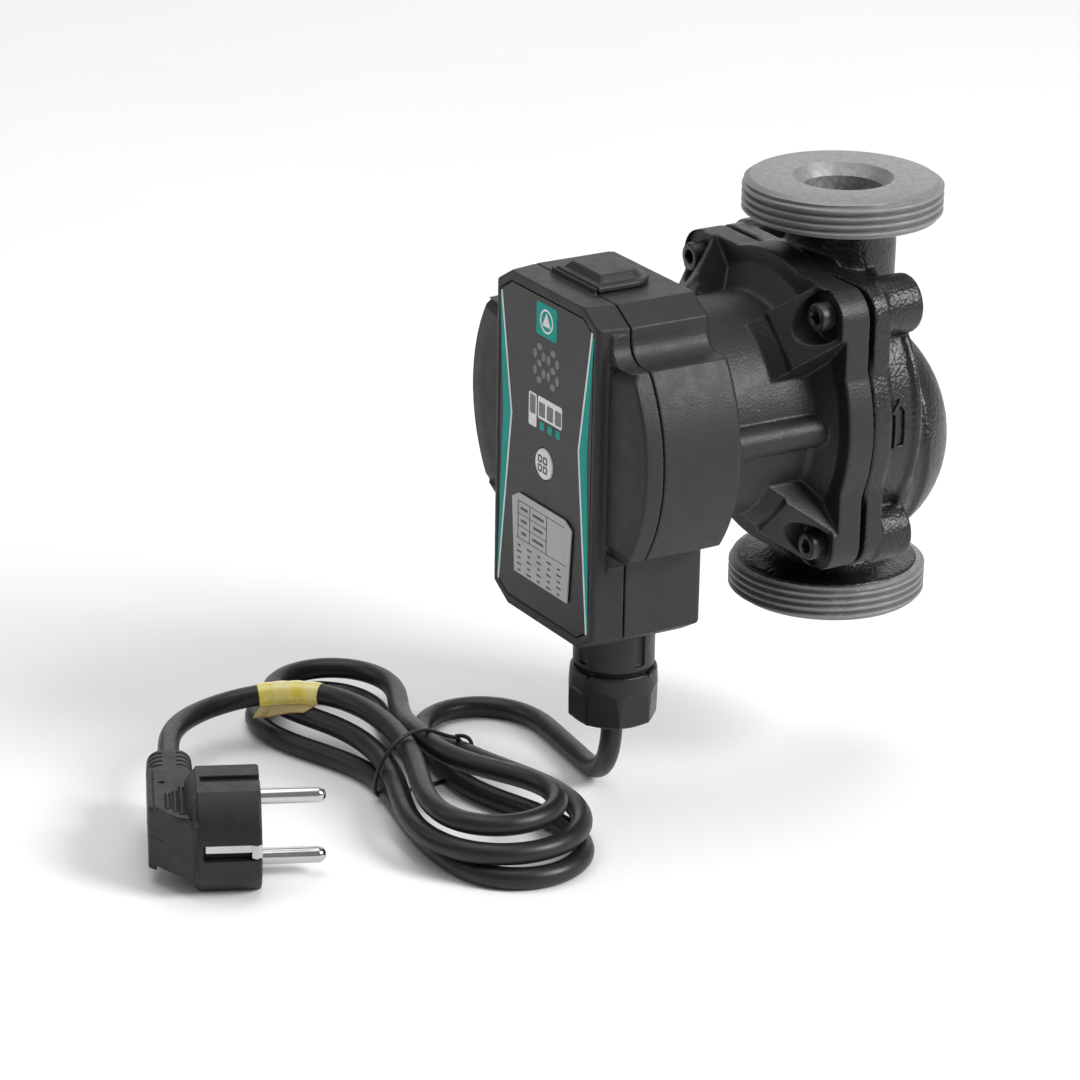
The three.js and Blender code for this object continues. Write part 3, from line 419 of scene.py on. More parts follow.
def piece(name, shape, look, body="pump", replaces=(), slot=None, voxel=None, smooth=4, bevel=None,
          sharp=35, cast=None):
    """A visible piece from a shape. voxel (mm) remeshes it so that its edges soften, bevel (mm) rounds its
    edges, sharp (degrees) is where shading breaks, and cast is the (size, depth) in mm of a rough skin. The
    slot argument is not used."""
    thing = bare_object(name, bare_mesh(name, shape))
    if bevel:
        modifier = thing.modifiers.new("bevel", "BEVEL")
        modifier.width, modifier.segments, modifier.limit_method = bevel * MM, 3, "ANGLE"
        modifier.angle_limit = math.radians(32)
        settle(thing)
    if voxel:
        modifier = thing.modifiers.new("remesh", "REMESH")
        modifier.mode, modifier.voxel_size, modifier.use_smooth_shade = "VOXEL", voxel * MM, True
        if smooth:
            modifier = thing.modifiers.new("smooth", "SMOOTH")
            modifier.factor, modifier.iterations = 0.5, smooth
        if cast:
            texture = bpy.data.textures.new(name, "CLOUDS")
            texture.noise_scale, texture.noise_depth = cast[0] * MM, 3
            modifier = thing.modifiers.new("cast", "DISPLACE")
            modifier.texture, modifier.strength, modifier.mid_level = texture, cast[1] * MM, 0.5
        settle(thing)
    thing.data.polygons.foreach_set("use_smooth", [True] * len(thing.data.polygons))
    if not voxel:
        thing.data.set_sharp_from_angle(angle=math.radians(sharp))
    thing.data.materials.clear()
    thing.data.materials.append(LOOKS[look])
    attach(thing, body)
    if replaces:
        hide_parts(*replaces)
    slot = slot or look
    return thing


def wire(name, points, radius, look, sides, body="pump"):
    """A round wire or cord on one smooth NURBS line through control points in mm."""
    ORDER, RESOLUTION = 4, 10
    curve = bpy.data.curves.new(name, "CURVE")
    curve.dimensions = "3D"
    curve.bevel_depth, curve.bevel_resolution, curve.use_fill_caps = radius * MM, sides, True
    spline = curve.splines.new("NURBS")
    spline.points.add(len(points) - 1)
    for point, p in zip(spline.points, points):
        point.co = (*[c * MM for c in p], 1)
    spline.order_u, spline.resolution_u = ORDER, RESOLUTION
    spline.use_endpoint_u, spline.use_smooth = True, True
    thing = bare_object(name, curve)
    curve.materials.append(LOOKS[look])
    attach(thing, body)
    return thing


# -------------- mains lead

CORD_RADIUS = 3.25
LOW, MIDDLE, HIGH = -50.75, -44.2, -37.65      # heights of the hank's three layers
LEAD = [
    (0, -75.7, -27.8), (-0.1, -75.7, -31.5), (-0.9, -75.6, -37.3), (-4.2, -75, -44), (-10.5, -73.8, -49.2),
    (-18.5, -72.4, -50.9), (-27, -71.4, LOW), (-37, -70.4, LOW), (-46.5, -69.3, LOW), (-55.5, -68.7, LOW),
    (-67.1, -72.5, LOW), (-74.3, -82.4, LOW), (-74.3, -94.6, LOW), (-67.1, -104.5, LOW), (-55.5, -108.3, LOW),
]
FIRST_RUN = [
    (-44, -110.5), (-31, -113), (-17, -112.4), (-4, -107.6), (9, -102.8), (22.5, -101), (34.8, -105),
    (42.5, -115.5), (42.5, -128.5), (34.8, -139), (22.5, -143), (7, -143), (-11, -139.8), (-28, -135.2),
    (-44, -133.2), (-60, -138.2), (-76, -145.2), (-90.5, -148.1), (-102.3, -144.3), (-109.6, -134.2),
    (-109.6, -121.8), (-102.3, -111.7), (-90.5, -107.9), (-79, -110), (-68, -114.8),
]
FIRST_RISE = [(-57, -116.4, -49.6), (-46.5, -112.8, -46), (-36, -109.8, MIDDLE)]
SECOND_RUN = [
    (-25, -107.6), (-12, -103.2), (1, -98.9), (15, -97.6), (29.8, -102.4), (39, -115), (39, -130.6),
    (29.8, -143.2), (15, -148), (0, -146), (-16, -139.5), (-32, -133.7), (-48, -131.1), (-64, -132.2),
    (-79, -138), (-91.5, -141.8), (-103.1, -138), (-110.3, -128.1), (-110.3, -115.9), (-103.1, -106),
    (-91.5, -102.2), (-80.5, -104.3),
]
SECOND_RISE = [(-69.5, -110.2, -44), (-58, -114.8, -42.4), (-47.5, -118.6, -39.4), (-37.5, -120.9, HIGH)]
THIRD_RUN = [
    (-27, -122.2), (-15.5, -120.3), (-5, -115.4), (5, -109.4), (15.5, -106), (25.9, -109.1), (32.5, -118.2),
    (32.6, -130), (26, -139.8), (14.5, -143.6), (0, -140.6), (-17, -132.9), (-33, -127.9), (-49, -125.7),
    (-64, -126.4), (-76, -131), (-84, -139.4),
]
TAIL = [
    (-88.4, -149.6, -38.5), (-90.2, -159.3, -39.6), (-88.6, -168.8, -40.0), (-83.4, -178.0, -39.6),
    (-75.2, -185.9, -39.0), (-66.0, -190.9, -38.5), (-51.6, -197.5, -38.5),
]
ROUTE = [
    *LEAD, *[(x, y, LOW) for x, y in FIRST_RUN], *FIRST_RISE, *[(x, y, MIDDLE) for x, y in SECOND_RUN],
    *SECOND_RISE, *[(x, y, HIGH) for x, y in THIRD_RUN], *TAIL,
]
cord = wire("supply_cord", ROUTE, CORD_RADIUS, "cord_sheath", sides=8)
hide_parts("cord_lead", "cord_hank", "cord_tail")


# -------------- casing

THREAD_PITCH = 2.309
PORT_LENGTH = 130


def thread_ring():
    """One port's threaded flange with its face at height 0 and the thread as a true helix."""
    CREST, ROOT, EDGE, FIRST, START_ANGLE = 29.75, 28.35, 27.6, 2.0, math.radians(31)
    STEP, RUN_OUT_END = 0.11, 10.4
    rows, verts = [], []

    def add_row(radius_at, height):
        rows.append(list(range(len(verts), len(verts) + SIDES)))
        for i in range(SIDES):
            t = 2 * math.pi * i / SIDES
            radius = radius_at(t)
            verts.append((radius * math.cos(t), radius * math.sin(t), height))

    for radius, height in ((12, 11), (12, 3.4), (14.75, 0.25), (15.0, 0.0), (27.3, 0.0), (EDGE, 0.12)):
        add_row(lambda t, r=radius: r, height)
    height = 0.5
    while height < 10.9:
        def radius_at(t, h=height):
            phase = ((h - FIRST) / THREAD_PITCH - (t + START_ANGLE) / (2 * math.pi) + 0.5) % 1.0
            ridge = min(1.0, max(0.0, 1.35 - 3.1 * abs(phase - 0.5)))
            ridge = ridge * ridge * (3 - 2 * ridge)
            limit = EDGE + 1.6 * max(0.0, h - 0.2)
            run_out = min(1.0, max(0.0, (RUN_OUT_END - h) / 0.6))
            return min(ROOT + (CREST - ROOT) * ridge * run_out, limit)
        add_row(radius_at, height)
        height += STEP
    add_row(lambda t: 27.9, 11.0)
    return verts, ring_faces(rows, True)


def upside_down(shape):
    return [(x, -y, PORT_LENGTH - z) for x, y, z in shape[0]], shape[1]


LUG_PLATE = rounded_rectangle(42, 42.8, 8.8, 0, AXIS_Z)
SCREWS = [(place, x, AXIS_Z + dz, math.degrees(math.atan2(dz, x))) for place, x, dz in (
    ("upper_left", -33.3, 35), ("upper_right", 33.3, 35), ("lower_left", -33.3, -35),
    ("lower_right", 33.3, -35))]


def rod(radius, y0, y1, x=0.0, z=AXIS_Z, sides=SIDES):
    return prism(arc(x, z, radius, 0, 360 - 360 / sides, sides - 1), y0, y1)


def casing():
    neck = [(0, 10), (27.2, 10), (27.4, 10.9), (26.6, 11.6), (20.5, 12.2), (17.6, 14.2), (16.4, 18),
            (16.4, 50), (0, 50)]
    upper = [(0, 10), (27.2, 10), (27.2, 11.2), (19, 11.6), (16.9, 13.5), (16.4, 17), (16.4, 52), (0, 52)]
    turns = [math.pi * i / 12 for i in range(24)]
    valley = lathe([(1 + 0.115 * math.cos(q), 5.6 + 4.7 * math.sin(q)) for q in turns], "Y", closed=True)
    valley = [(x * 43.0, y, 53.4 + z * 38.6) for x, y, z in valley[0]], valley[1]
    belly = carve(ellipsoid((0, 0, 53.4), (40, 30.7, 36.4), 64, 112),
                  (KEEP, block(-60, 60, -2, 60, 5, 125)), (CUT, valley))
    drum = lathe([(0, -17.3), (45.5, -17.3), (45.5, -11.2), (44.4, -10.4), (43.5, -9.9), (43.4, -2.4),
                  (44.3, -1.5), (44.3, 0.1), (43.2, 1.1), (0, 1.1)], "Y", 0, AXIS_Z)
    joined = [drum, lathe(neck), upside_down(lathe(upper)), belly, prism(LUG_PLATE, -16.4, -10.6)]
    for _, x, z, _ in SCREWS:
        joined.append(rod(8.8, -11, 0.2, x, z, 64))
        joined.append(ellipsoid((x, 0, z), (8.8, 2.0, 8.8)))
    cuts = [
        lathe([(0, -1), (12.05, -1), (12.05, 24), (9, 30), (0, 30)]),
        upside_down(lathe([(0, -1), (12.05, -1), (12.05, 24), (10.5, 30), (10.5, 38), (0, 38)])),
        rod(34, -13, -2.5), rod(38.2, -19, -12.3), rod(14.5, -4, 4),
        ellipsoid((0, 12.5, 60), (14.5, 14.5, 14.5)),
    ]
    return solid(joined, cuts)


piece("volute_casting", casing(), "cast_iron_paint", replaces=["volute_casing"],
      voxel=0.6, smooth=4, cast=(1.5, 0.15))


def flow_arrow():
    """The raised outline of an arrow on the casing's side, pointing up the pipe."""
    outer = [(-7.2, 75.0), (-10.6, 70.8), (-9.3, 70.8), (-9.3, 60.2), (-5.1, 60.2), (-5.1, 70.8),
             (-3.8, 70.8)]
    inner = [(-7.2, 73.2), (-8.5, 71.4), (-8.4, 70.8), (-8.4, 61.1), (-6.0, 61.1), (-6.0, 70.8), (-5.9, 71.4)]
    skin = lathe(drum_profile(44.4, -12, 0), "Y", 0, AXIS_Z)
    return carve(prism(outer, 42.4, 46, "X"), (CUT, prism(inner, 40, 48, "X")), (KEEP, skin))


piece("flow_arrow", flow_arrow(), "cast_iron_paint", voxel=0.2, smooth=2)
piece("port_thread_lower", thread_ring(), "port_iron", slot="cast_iron_paint", sharp=28)
piece("port_thread_upper", upside_down(thread_ring()), "port_iron", slot="cast_iron_paint", sharp=28)


# -------------- motor housing and screws

def motor_housing():
    LUG_FRONT_Y = -27.8
    plate = prism(LUG_PLATE, -60, -18.4)
    joined = [
        lathe([(0, -65), (31.9, -65), (32.3, -64.6), (32.9, -31.6), (33.6, -30.3), (39.6, -26.6),
               (40.4, -26.1), (45.0, -26.1), (45.5, -25.6), (45.5, -17.6), (0, -17.6)], "Y", 0, AXIS_Z),
        prism(LUG_PLATE, -26, -18.1),
    ]
    wedge = [(28, -46.6), (36.2, -40.0), (48.9, LUG_FRONT_Y), (62, LUG_FRONT_Y), (62, -19), (28, -19)]
    front = lathe([(0, -43.6), (31.8, -43.6), (37.2, -38.6), (66, -38.6), (66, -18), (0, -18)], "Y", 0,
                  AXIS_Z)
    cuts = []
    for _, x, z, angle in SCREWS:
        bar = loft([[(s, y, w) for s, y in wedge] for w in (-9.75, 9.75)])
        bar = moved(turned_about(bar, "Y", -angle), z=AXIS_Z)
        joined.append(carve(bar, (KEEP, plate), (KEEP, front)))
        cuts.append(rod(7.6, -60, -26.5, x, z, 64))
        cuts.append(rod(2.8, -30, -10, x, z, 32))
    for side in (-1, 1):
        joined.append(rod(4.85, -65, -29.2, side * 32.9, AXIS_Z + 0.5, 48))
        joined.append(ellipsoid((side * 32.9, -29.2, AXIS_Z + 0.5), (4.85, 4.85, 4.85)))
    cuts += [rod(35, -20, -10), rod(28.8, -70, -22), rod(24, -27, -10)]
    return solid(joined, cuts)


piece("motor_frame", motor_housing(), "motor_paint", replaces=["motor_housing"],
      voxel=0.36, smooth=6)


def cap_screw(x, z):
    FACE, SEAT, END = -31.5, -26.7, -4.6
    head = lathe([(0, FACE), (3.35, FACE), (3.75, FACE + 0.12), (4.1, FACE + 0.4), (4.25, FACE + 0.85),
                  (4.25, SEAT - 0.3), (4.0, SEAT), (2.5, SEAT), (2.5, END - 0.8), (1.7, END),
                  (0, END)], "Y", x, z, 48)
    socket = prism(arc(x, z, 2.31, 12, 312, 5), FACE - 1, FACE + 2.6)
    mouth = lathe([(0, FACE - 0.5), (2.75, FACE - 0.5), (2.0, FACE + 0.35), (0, FACE + 0.35)], "Y", x, z, 48)
    return solid([head], [socket, mouth])


for place, x, z, _ in SCREWS:
    piece(f"cap_screw_{place}", cap_screw(x, z), "screw_black", replaces=[f"flange_screw_{place}"], sharp=30)


# -------------- control box

BOX_LOW, BOX_HIGH = 7.4, 110.5
SEAM_Y, BACK_Y, FRONT_Y = -91.5, -65.3, -101.2
WING_Z, WING_RADIUS, WING_FRONT_Y = 67.9, 49.2, -97.9
CHAMFER_X, CHAMFER_Z = 8.1, 4.7                 # how far the box's corners are cut
CAP_Y, BUTTON_Z = -81, 57.4


def plain_box(half, inset=0.0, corner=1.2):
    low, high = BOX_LOW + inset, BOX_HIGH - inset
    x, cut = half - inset, inset * 0.4
    return rounded(mirrored([(x - CHAMFER_X + cut, low), (x, low + CHAMFER_Z - cut),
                             (x, high - CHAMFER_Z + cut), (x - CHAMFER_X + cut, high)]), corner, 4)


def winged_box(half, radius, inset=0.0):
    x = half - inset
    top, low = 96.1 - inset, 39.7 + inset
    reach = math.degrees(math.asin((top - WING_Z) / (radius - inset)))
    down = math.degrees(math.asin((WING_Z - low) / (radius - inset)))
    right = [(x - CHAMFER_X, BOX_LOW + inset), (x, BOX_LOW + CHAMFER_Z + inset * 0.6), (x, 34.8 + inset)]
    right += arc(0, WING_Z, radius - inset, -down, reach, 28)
    right += arc(x + 6.2, top + 6.2, 6.2, 270, 185, 8)
    right += [(x, BOX_HIGH - CHAMFER_Z - inset * 0.6), (x - CHAMFER_X, BOX_HIGH - inset)]
    return mirrored(right)


def at_y(outline, y):
    return [(a, y, b) for a, b in outline]


def panel_outline(inset=0.0):
    x, low, high = 25.6 - inset, 10.4 + inset, 107.3 - inset
    return rounded(mirrored([(x - 5.8, low), (x, low + 3.6), (x, high - 3.6), (x - 5.8, high)]), 0.8, 4)


def box_cover():
    back, RING = SEAM_Y - 0.14, 42.9
    front = loft([at_y(plain_box(27.1), FRONT_Y), at_y(plain_box(27.9), FRONT_Y + 0.35),
                  at_y(plain_box(28.3), FRONT_Y + 1), at_y(plain_box(30.0), back)])
    wing_limit = lathe([(0, WING_FRONT_Y), (RING, WING_FRONT_Y), (48.1, WING_FRONT_Y + 0.7),
                        (48.6, WING_FRONT_Y + 1.1), (WING_RADIUS, back), (0, back)], "Y", 0, WING_Z)
    wings = carve(prism(winged_box(30, WING_RADIUS), WING_FRONT_Y, back), (KEEP, wing_limit),
                  (KEEP, block(-60, 60, -110, -80, 33, 104)))
    lip = block(-12, 12, -92.7, back, 108, 112.4)
    cuts = [prism(panel_outline(-0.1), -102, -100.2), rod(5.1, -110, -90, 0, BUTTON_Z, 48),
            prism(plain_box(27.2, 3), -98.2, -90)]
    ring_line = lathe([(RING - 0.25, WING_FRONT_Y - 1), (RING + 0.25, WING_FRONT_Y - 1),
                       (RING + 0.25, WING_FRONT_Y + 0.3), (RING - 0.25, WING_FRONT_Y + 0.3)],
                      "Y", 0, WING_Z, closed=True)
    cuts.append(carve(ring_line, (CUT, block(-30, 30, -110, -80, 0, 140))))
    top_end = [(WING_FRONT_Y - 1, 92.3), (WING_FRONT_Y, 92.3), (WING_FRONT_Y + 2.6, 95.9),
               (WING_FRONT_Y - 1, 95.9)]
    low_end = [(WING_FRONT_Y - 1, 42.4), (WING_FRONT_Y, 42.4), (WING_FRONT_Y + 1.8, 39.0),
               (WING_FRONT_Y - 1, 39.0)]
    for x0, x1 in ((-60, -29.2), (29.2, 60)):
        cuts.append(prism(top_end, x0, x1, "X"))
        cuts.append(prism(low_end, x0, x1, "X"))
    return solid([front, wings, lip], cuts)


def box_shell():
    front, back = SEAM_Y + 0.14, BACK_Y
    outer = [
        prism(winged_box(30.1, WING_RADIUS), front, back - 1.0),
        prism(winged_box(29.4, WING_RADIUS - 0.7), front + 3, back),
    ]
    cuts = [
        prism(winged_box(30, WING_RADIUS, 2.6), front - 1, back - 2.3), rod(26.2, -80, -60),
        lathe(drum_profile(8.9, 104, 120), "Z", 0, CAP_Y, 64),
        lathe(drum_profile(6.4, 0, 15), "Z", 0, GLAND_Y, 48),
    ]
    return solid(outer, cuts)


piece("box_cover", box_cover(), "box_plastic", replaces=["control_box_cover"], voxel=0.4, smooth=2)
piece("box_shell", box_shell(), "box_plastic", replaces=["control_box_shell"], voxel=0.4, smooth=2)


def d_outline(inset):
    HALF, FRONT, CORNER = 12, -91.2, 8
    return [(-HALF + inset, FRONT + inset * 0.8), (HALF - inset, FRONT + inset * 0.8),
            *arc(HALF - CORNER, -79, CORNER - inset, 0, 90, 14),
            *arc(-HALF + CORNER, -79, CORNER - inset, 90, 180, 14)]


def entry_cap():
    rings = [(0.0, 110.8), (0.0, 112.1), (0.4, 112.6), (2.3, 112.7), (2.4, 113.1), (3.9, 114.5), (4.3, 114.7)]
    top = loft([[(x, y, z) for x, y in d_outline(inset)] for inset, z in rings])
    return solid([top, lathe(drum_profile(8.5, 106.4, 111.5), "Z", 0, CAP_Y, 64)])


piece("entry_cap", entry_cap(), "box_plastic", replaces=["cable_entry_cap"], voxel=0.3, smooth=3)


# -------------- prints on the front

PRINT_Y = -101.0


def print_on(name, outline, look, layer=1, surface_y=PRINT_Y, slot="overlay_film"):
    """One printed area, standing a hair above what it is printed on."""
    return piece(name, prism(outline, surface_y - 0.04 * layer, surface_y + 0.02), look, slot=slot)


def band(points, width_in, width_out):
    """A bent line of (x, z) points widened to either side along x."""
    return [(x - width_in, z) for x, z in points] + [(x + width_out, z) for x, z in reversed(points)]


def stripes():
    left_outer = [(-26.0, 12.9), (-23.5, 66.4), (-26.0, 102.2)]
    left_inner = [(-25.6, 13.6), (-19.0, 67.6), (-25.3, 101.6)]
    print_on("stripe_teal_left", left_outer + left_inner[::-1], "print_teal")
    print_on("stripe_white_left", band([(-25.7, 12.2), (-19.1, 67.6), (-25.5, 103.0)], 0.0, 0.75),
             "print_white", 2)
    right_inner = [(24.9, 12.9), (19.0, 67.4), (24.8, 103.6)]
    right_outer = [(25.6, 13.4), (23.1, 68.0), (25.7, 103.0)]
    print_on("stripe_teal_right", right_inner + right_outer[::-1], "print_teal")
    print_on("stripe_white_right", band([(25.2, 12.0), (19.0, 67.4), (25.1, 104.4)], 0.75, 0.0),
             "print_white", 2)


stripes()


def badge():
    print_on("badge_field", rounded(oblong(-5.6, 5.6, 95.6, 105.4), 0.6, 3), "print_teal")
    ring = arc(0, 100.5, 3.6, 0, 350, 35)
    hole = arc(0, 100.5, 3.0, 0, 350, 35)
    circle = carve(prism(ring, PRINT_Y - 0.08, PRINT_Y + 0.02), (CUT, prism(hole, PRINT_Y - 1, PRINT_Y + 1)))
    piece("badge_ring", circle, "print_white", slot="overlay_film")
    print_on("badge_triangle", [(-2.3, 98.9), (2.3, 98.9), (0, 103.1)], "print_white", 2)


badge()


def digits():
    LONG, SHORT = 1.45, 1.05
    for number, (x, z) in enumerate(((-3.6, 87.0), (3.9, 86.8)), 1):
        for key, dx, dz, turn in (("a", 0, 5.1, 90), ("f", -2.4, 2.5, 10), ("b", 2.3, 2.5, 10),
                                  ("g", 0, 0, 90), ("e", -2.4, -2.4, 10), ("c", 2.4, -2.5, 10),
                                  ("d", 0, -5.0, 90)):
            t = math.radians(turn - 4)
            oval = [(x + dx + LONG * math.cos(q) * math.sin(t) - SHORT * math.sin(q) * math.cos(t),
                     z + dz + LONG * math.cos(q) * math.cos(t) + SHORT * math.sin(q) * math.sin(t))
                    for q in [2 * math.pi * i / 20 for i in range(20)]]
            print_on(f"digit_{number}_{key}", oval, "print_grey")


digits()


def window_frame(name, outline, windows):
    plate = prism(outline, PRINT_Y - 0.05, PRINT_Y + 0.02)
    cuts = [prism(w, PRINT_Y - 1, PRINT_Y + 1) for w in windows]
    piece(name, solid([plate], cuts), "print_white", slot="overlay_film")


def modes():
    window_frame("auto_frame", rounded(oblong(-9.1, -4.7, 67.1, 77.2), 0.7, 3),
                 [rounded(oblong(-8.5, -5.3, 70.9, 76.6), 0.5, 3)])
    print_on("auto_lamp", rounded(oblong(-8.5, -5.3, 70.9, 76.6), 0.5, 3), "print_grey")
    holes = [rounded(oblong(x - 1.75, x + 1.75, 71.2, 75.6), 0.4, 3)
             for x in (-1.7, 2.75, 7.2)]
    window_frame("mode_frame", rounded(oblong(-4.0, 9.3, 70.5, 77.2), 0.7, 3), holes)
    for i, (hole, x) in enumerate(zip(holes, (-1.7, 2.75, 7.2)), 1):
        print_on(f"mode_lamp_{i}", hole, "print_grey")
        print_on(f"mode_key_{i}", rounded(oblong(x - 1.2, x + 1.2, 67.2, 69.7), 0.3, 3),
                 "print_teal")


modes()


def rating_plate():
    """Ruled lines and short plain bars where the real label has its printing."""
    Y = -101.7
    rules = [("row_1", -13.6, 3.0, 38.3), ("row_2", -13.8, 3.0, 34.5), ("row_3", -14.2, 14.2, 30.6),
             ("row_0", -12.8, 12.8, 42.2)]
    for name, x0, x1, z in rules:
        print_on(f"plate_{name}", oblong(x0, x1, z - 0.12, z + 0.12), "print_ink", 1, Y,
                 slot="label_film")
    for name, x, z0, z1 in (("column_1", -6.4, 30.6, 42.2), ("column_2", 3.0, 30.6, 42.2),
                            ("column_0", -13.0, 30.6, 42.2)):
        print_on(f"plate_{name}", oblong(x - 0.12, x + 0.12, z0, z1), "print_ink", 2, Y,
                 slot="label_film")
    marks = []
    for row, z in enumerate((40.2, 36.4, 32.6)):
        marks += [(-9.7, z, 2.0 - 0.3 * row), (-1.7, z, 3.1 - 0.4 * (row % 2))]
    for row in range(5):
        for column in range(5):
            marks.append((-12.2 + column * 5.6, 28.4 - row * 1.95, 1.3 if (row * 3 + column) % 2 else 0.8))
    for i, (x, z, half) in enumerate(marks):
        high = 0.42 if i < 6 else 0.28
        print_on(f"plate_bar_{i + 1}", oblong(x - half, x + half, z - high, z + high),
                 "print_ink", 1, Y, slot="label_film")


rating_plate()


def button():
    FACE = -101.6
    cap = lathe([(0, FACE), (3.6, FACE + 0.02), (4.2, FACE + 0.12), (4.55, FACE + 0.35), (4.7, FACE + 0.8),
                 (4.7, -98.1), (5.6, -98.1), (5.6, -97.3), (2, -97.3), (2, -96.2),
                 (0, -96.2)], "Y", 0, BUTTON_Z, 64)
    piece("mode_key", cap, "button_white", "button", replaces=["mode_button"])
    for i, (sx, sz) in enumerate(((-1, 1), (1, 1), (-1, -1), (1, -1)), 1):
        square = rounded_rectangle(1.15, 1.15, 0.45, sx * 1.42, BUTTON_Z + sz * 1.42, 4)
        inner = rounded_rectangle(0.62, 0.62, 0.2, sx * 1.42, BUTTON_Z + sz * 1.42, 4)
        mark = carve(prism(square, FACE - 0.05, FACE + 0.1), (CUT, prism(inner, FACE - 1, FACE + 1)))
        piece(f"mode_key_mark_{i}", mark, "print_ink", "button", slot="button_white")


button()


# -------------- cable gland

def about_gland(profile, sides=SIDES):
    return lathe(profile, "Z", 0, GLAND_Y, sides)


def octagon(radius, z, turn=22.5):
    return [(radius * math.cos(math.radians(turn + 45 * i)),
             GLAND_Y + radius * math.sin(math.radians(turn + 45 * i)), z)
            for i in range(8)]


def gland_body():
    joined = [about_gland([(0, -14), (11.6, -14), (11.6, -9), (12.2, -8.6), (12.2, 7.3), (0, 7.3)]),
              about_gland(drum_profile(6.1, 0, 13.6), 48)]
    cuts = [about_gland(drum_profile(3.6, -40, 30), 32)]
    for turn in (8, 98, 188, 278):
        slot = block(10.9, 14, -1.7, 1.7, -7.2, 9)
        cuts.append(moved(turned_about(slot, "Z", turn - 90), y=GLAND_Y))
    return solid(joined, cuts)


def gland_nut():
    skirt = about_gland([(0, -25.8), (13.4, -25.8), (13.35, -15.5), (13.1, -11.2), (12.9, -10.1),
                         (12.5, -9.8), (0, -9.8)])
    tip = about_gland([(0, -28.2), (6.6, -28.2), (8.2, -27.9), (12.6, -25.9), (13.4, -24.9), (13.4, -20),
                       (0, -20)])
    flats = loft([octagon(12.2, -28.4), octagon(13.35, -25.6), octagon(13.7, -16.4), octagon(15.3, -12.6),
                  octagon(15.6, -9.0)])
    body = carve(solid([skirt, tip]), (KEEP, flats))
    notches = []
    for turn in (22.5, 112.5, 202.5, 292.5):
        notch = prism([(-1.6, -9.2), (1.6, -9.2), (0, -11.0)], 11.4, 15, "X")
        notches.append(moved(turned_about(notch, "Z", turn - 90), y=GLAND_Y))
    return solid([body], [about_gland(drum_profile(3.6, -40, 0), 32),
                          about_gland([(0, -24), (9.8, -24), (9.8, -15), (11.7, -14.5), (11.7, 0),
                                       (0, 0)], 48), *notches])


piece("gland_shank", gland_body(), "gland_plastic", replaces=["gland_body"], voxel=0.28, smooth=3)
piece("gland_cap", gland_nut(), "gland_plastic", replaces=["gland_nut"], voxel=0.28, smooth=3)


# -------------- plug

PLUG_CENTRE = Vector((-3.8, -191.9, -38.5))
PLUG_TURN = -24.6
PIN_OFFSET = 9.5


def in_plug_place(shape):
    """From the plug's own frame, where +y is the pins' way and the lead leaves along -x."""
    return moved(turned_about(shape, "Z", PLUG_TURN), *PLUG_CENTRE)


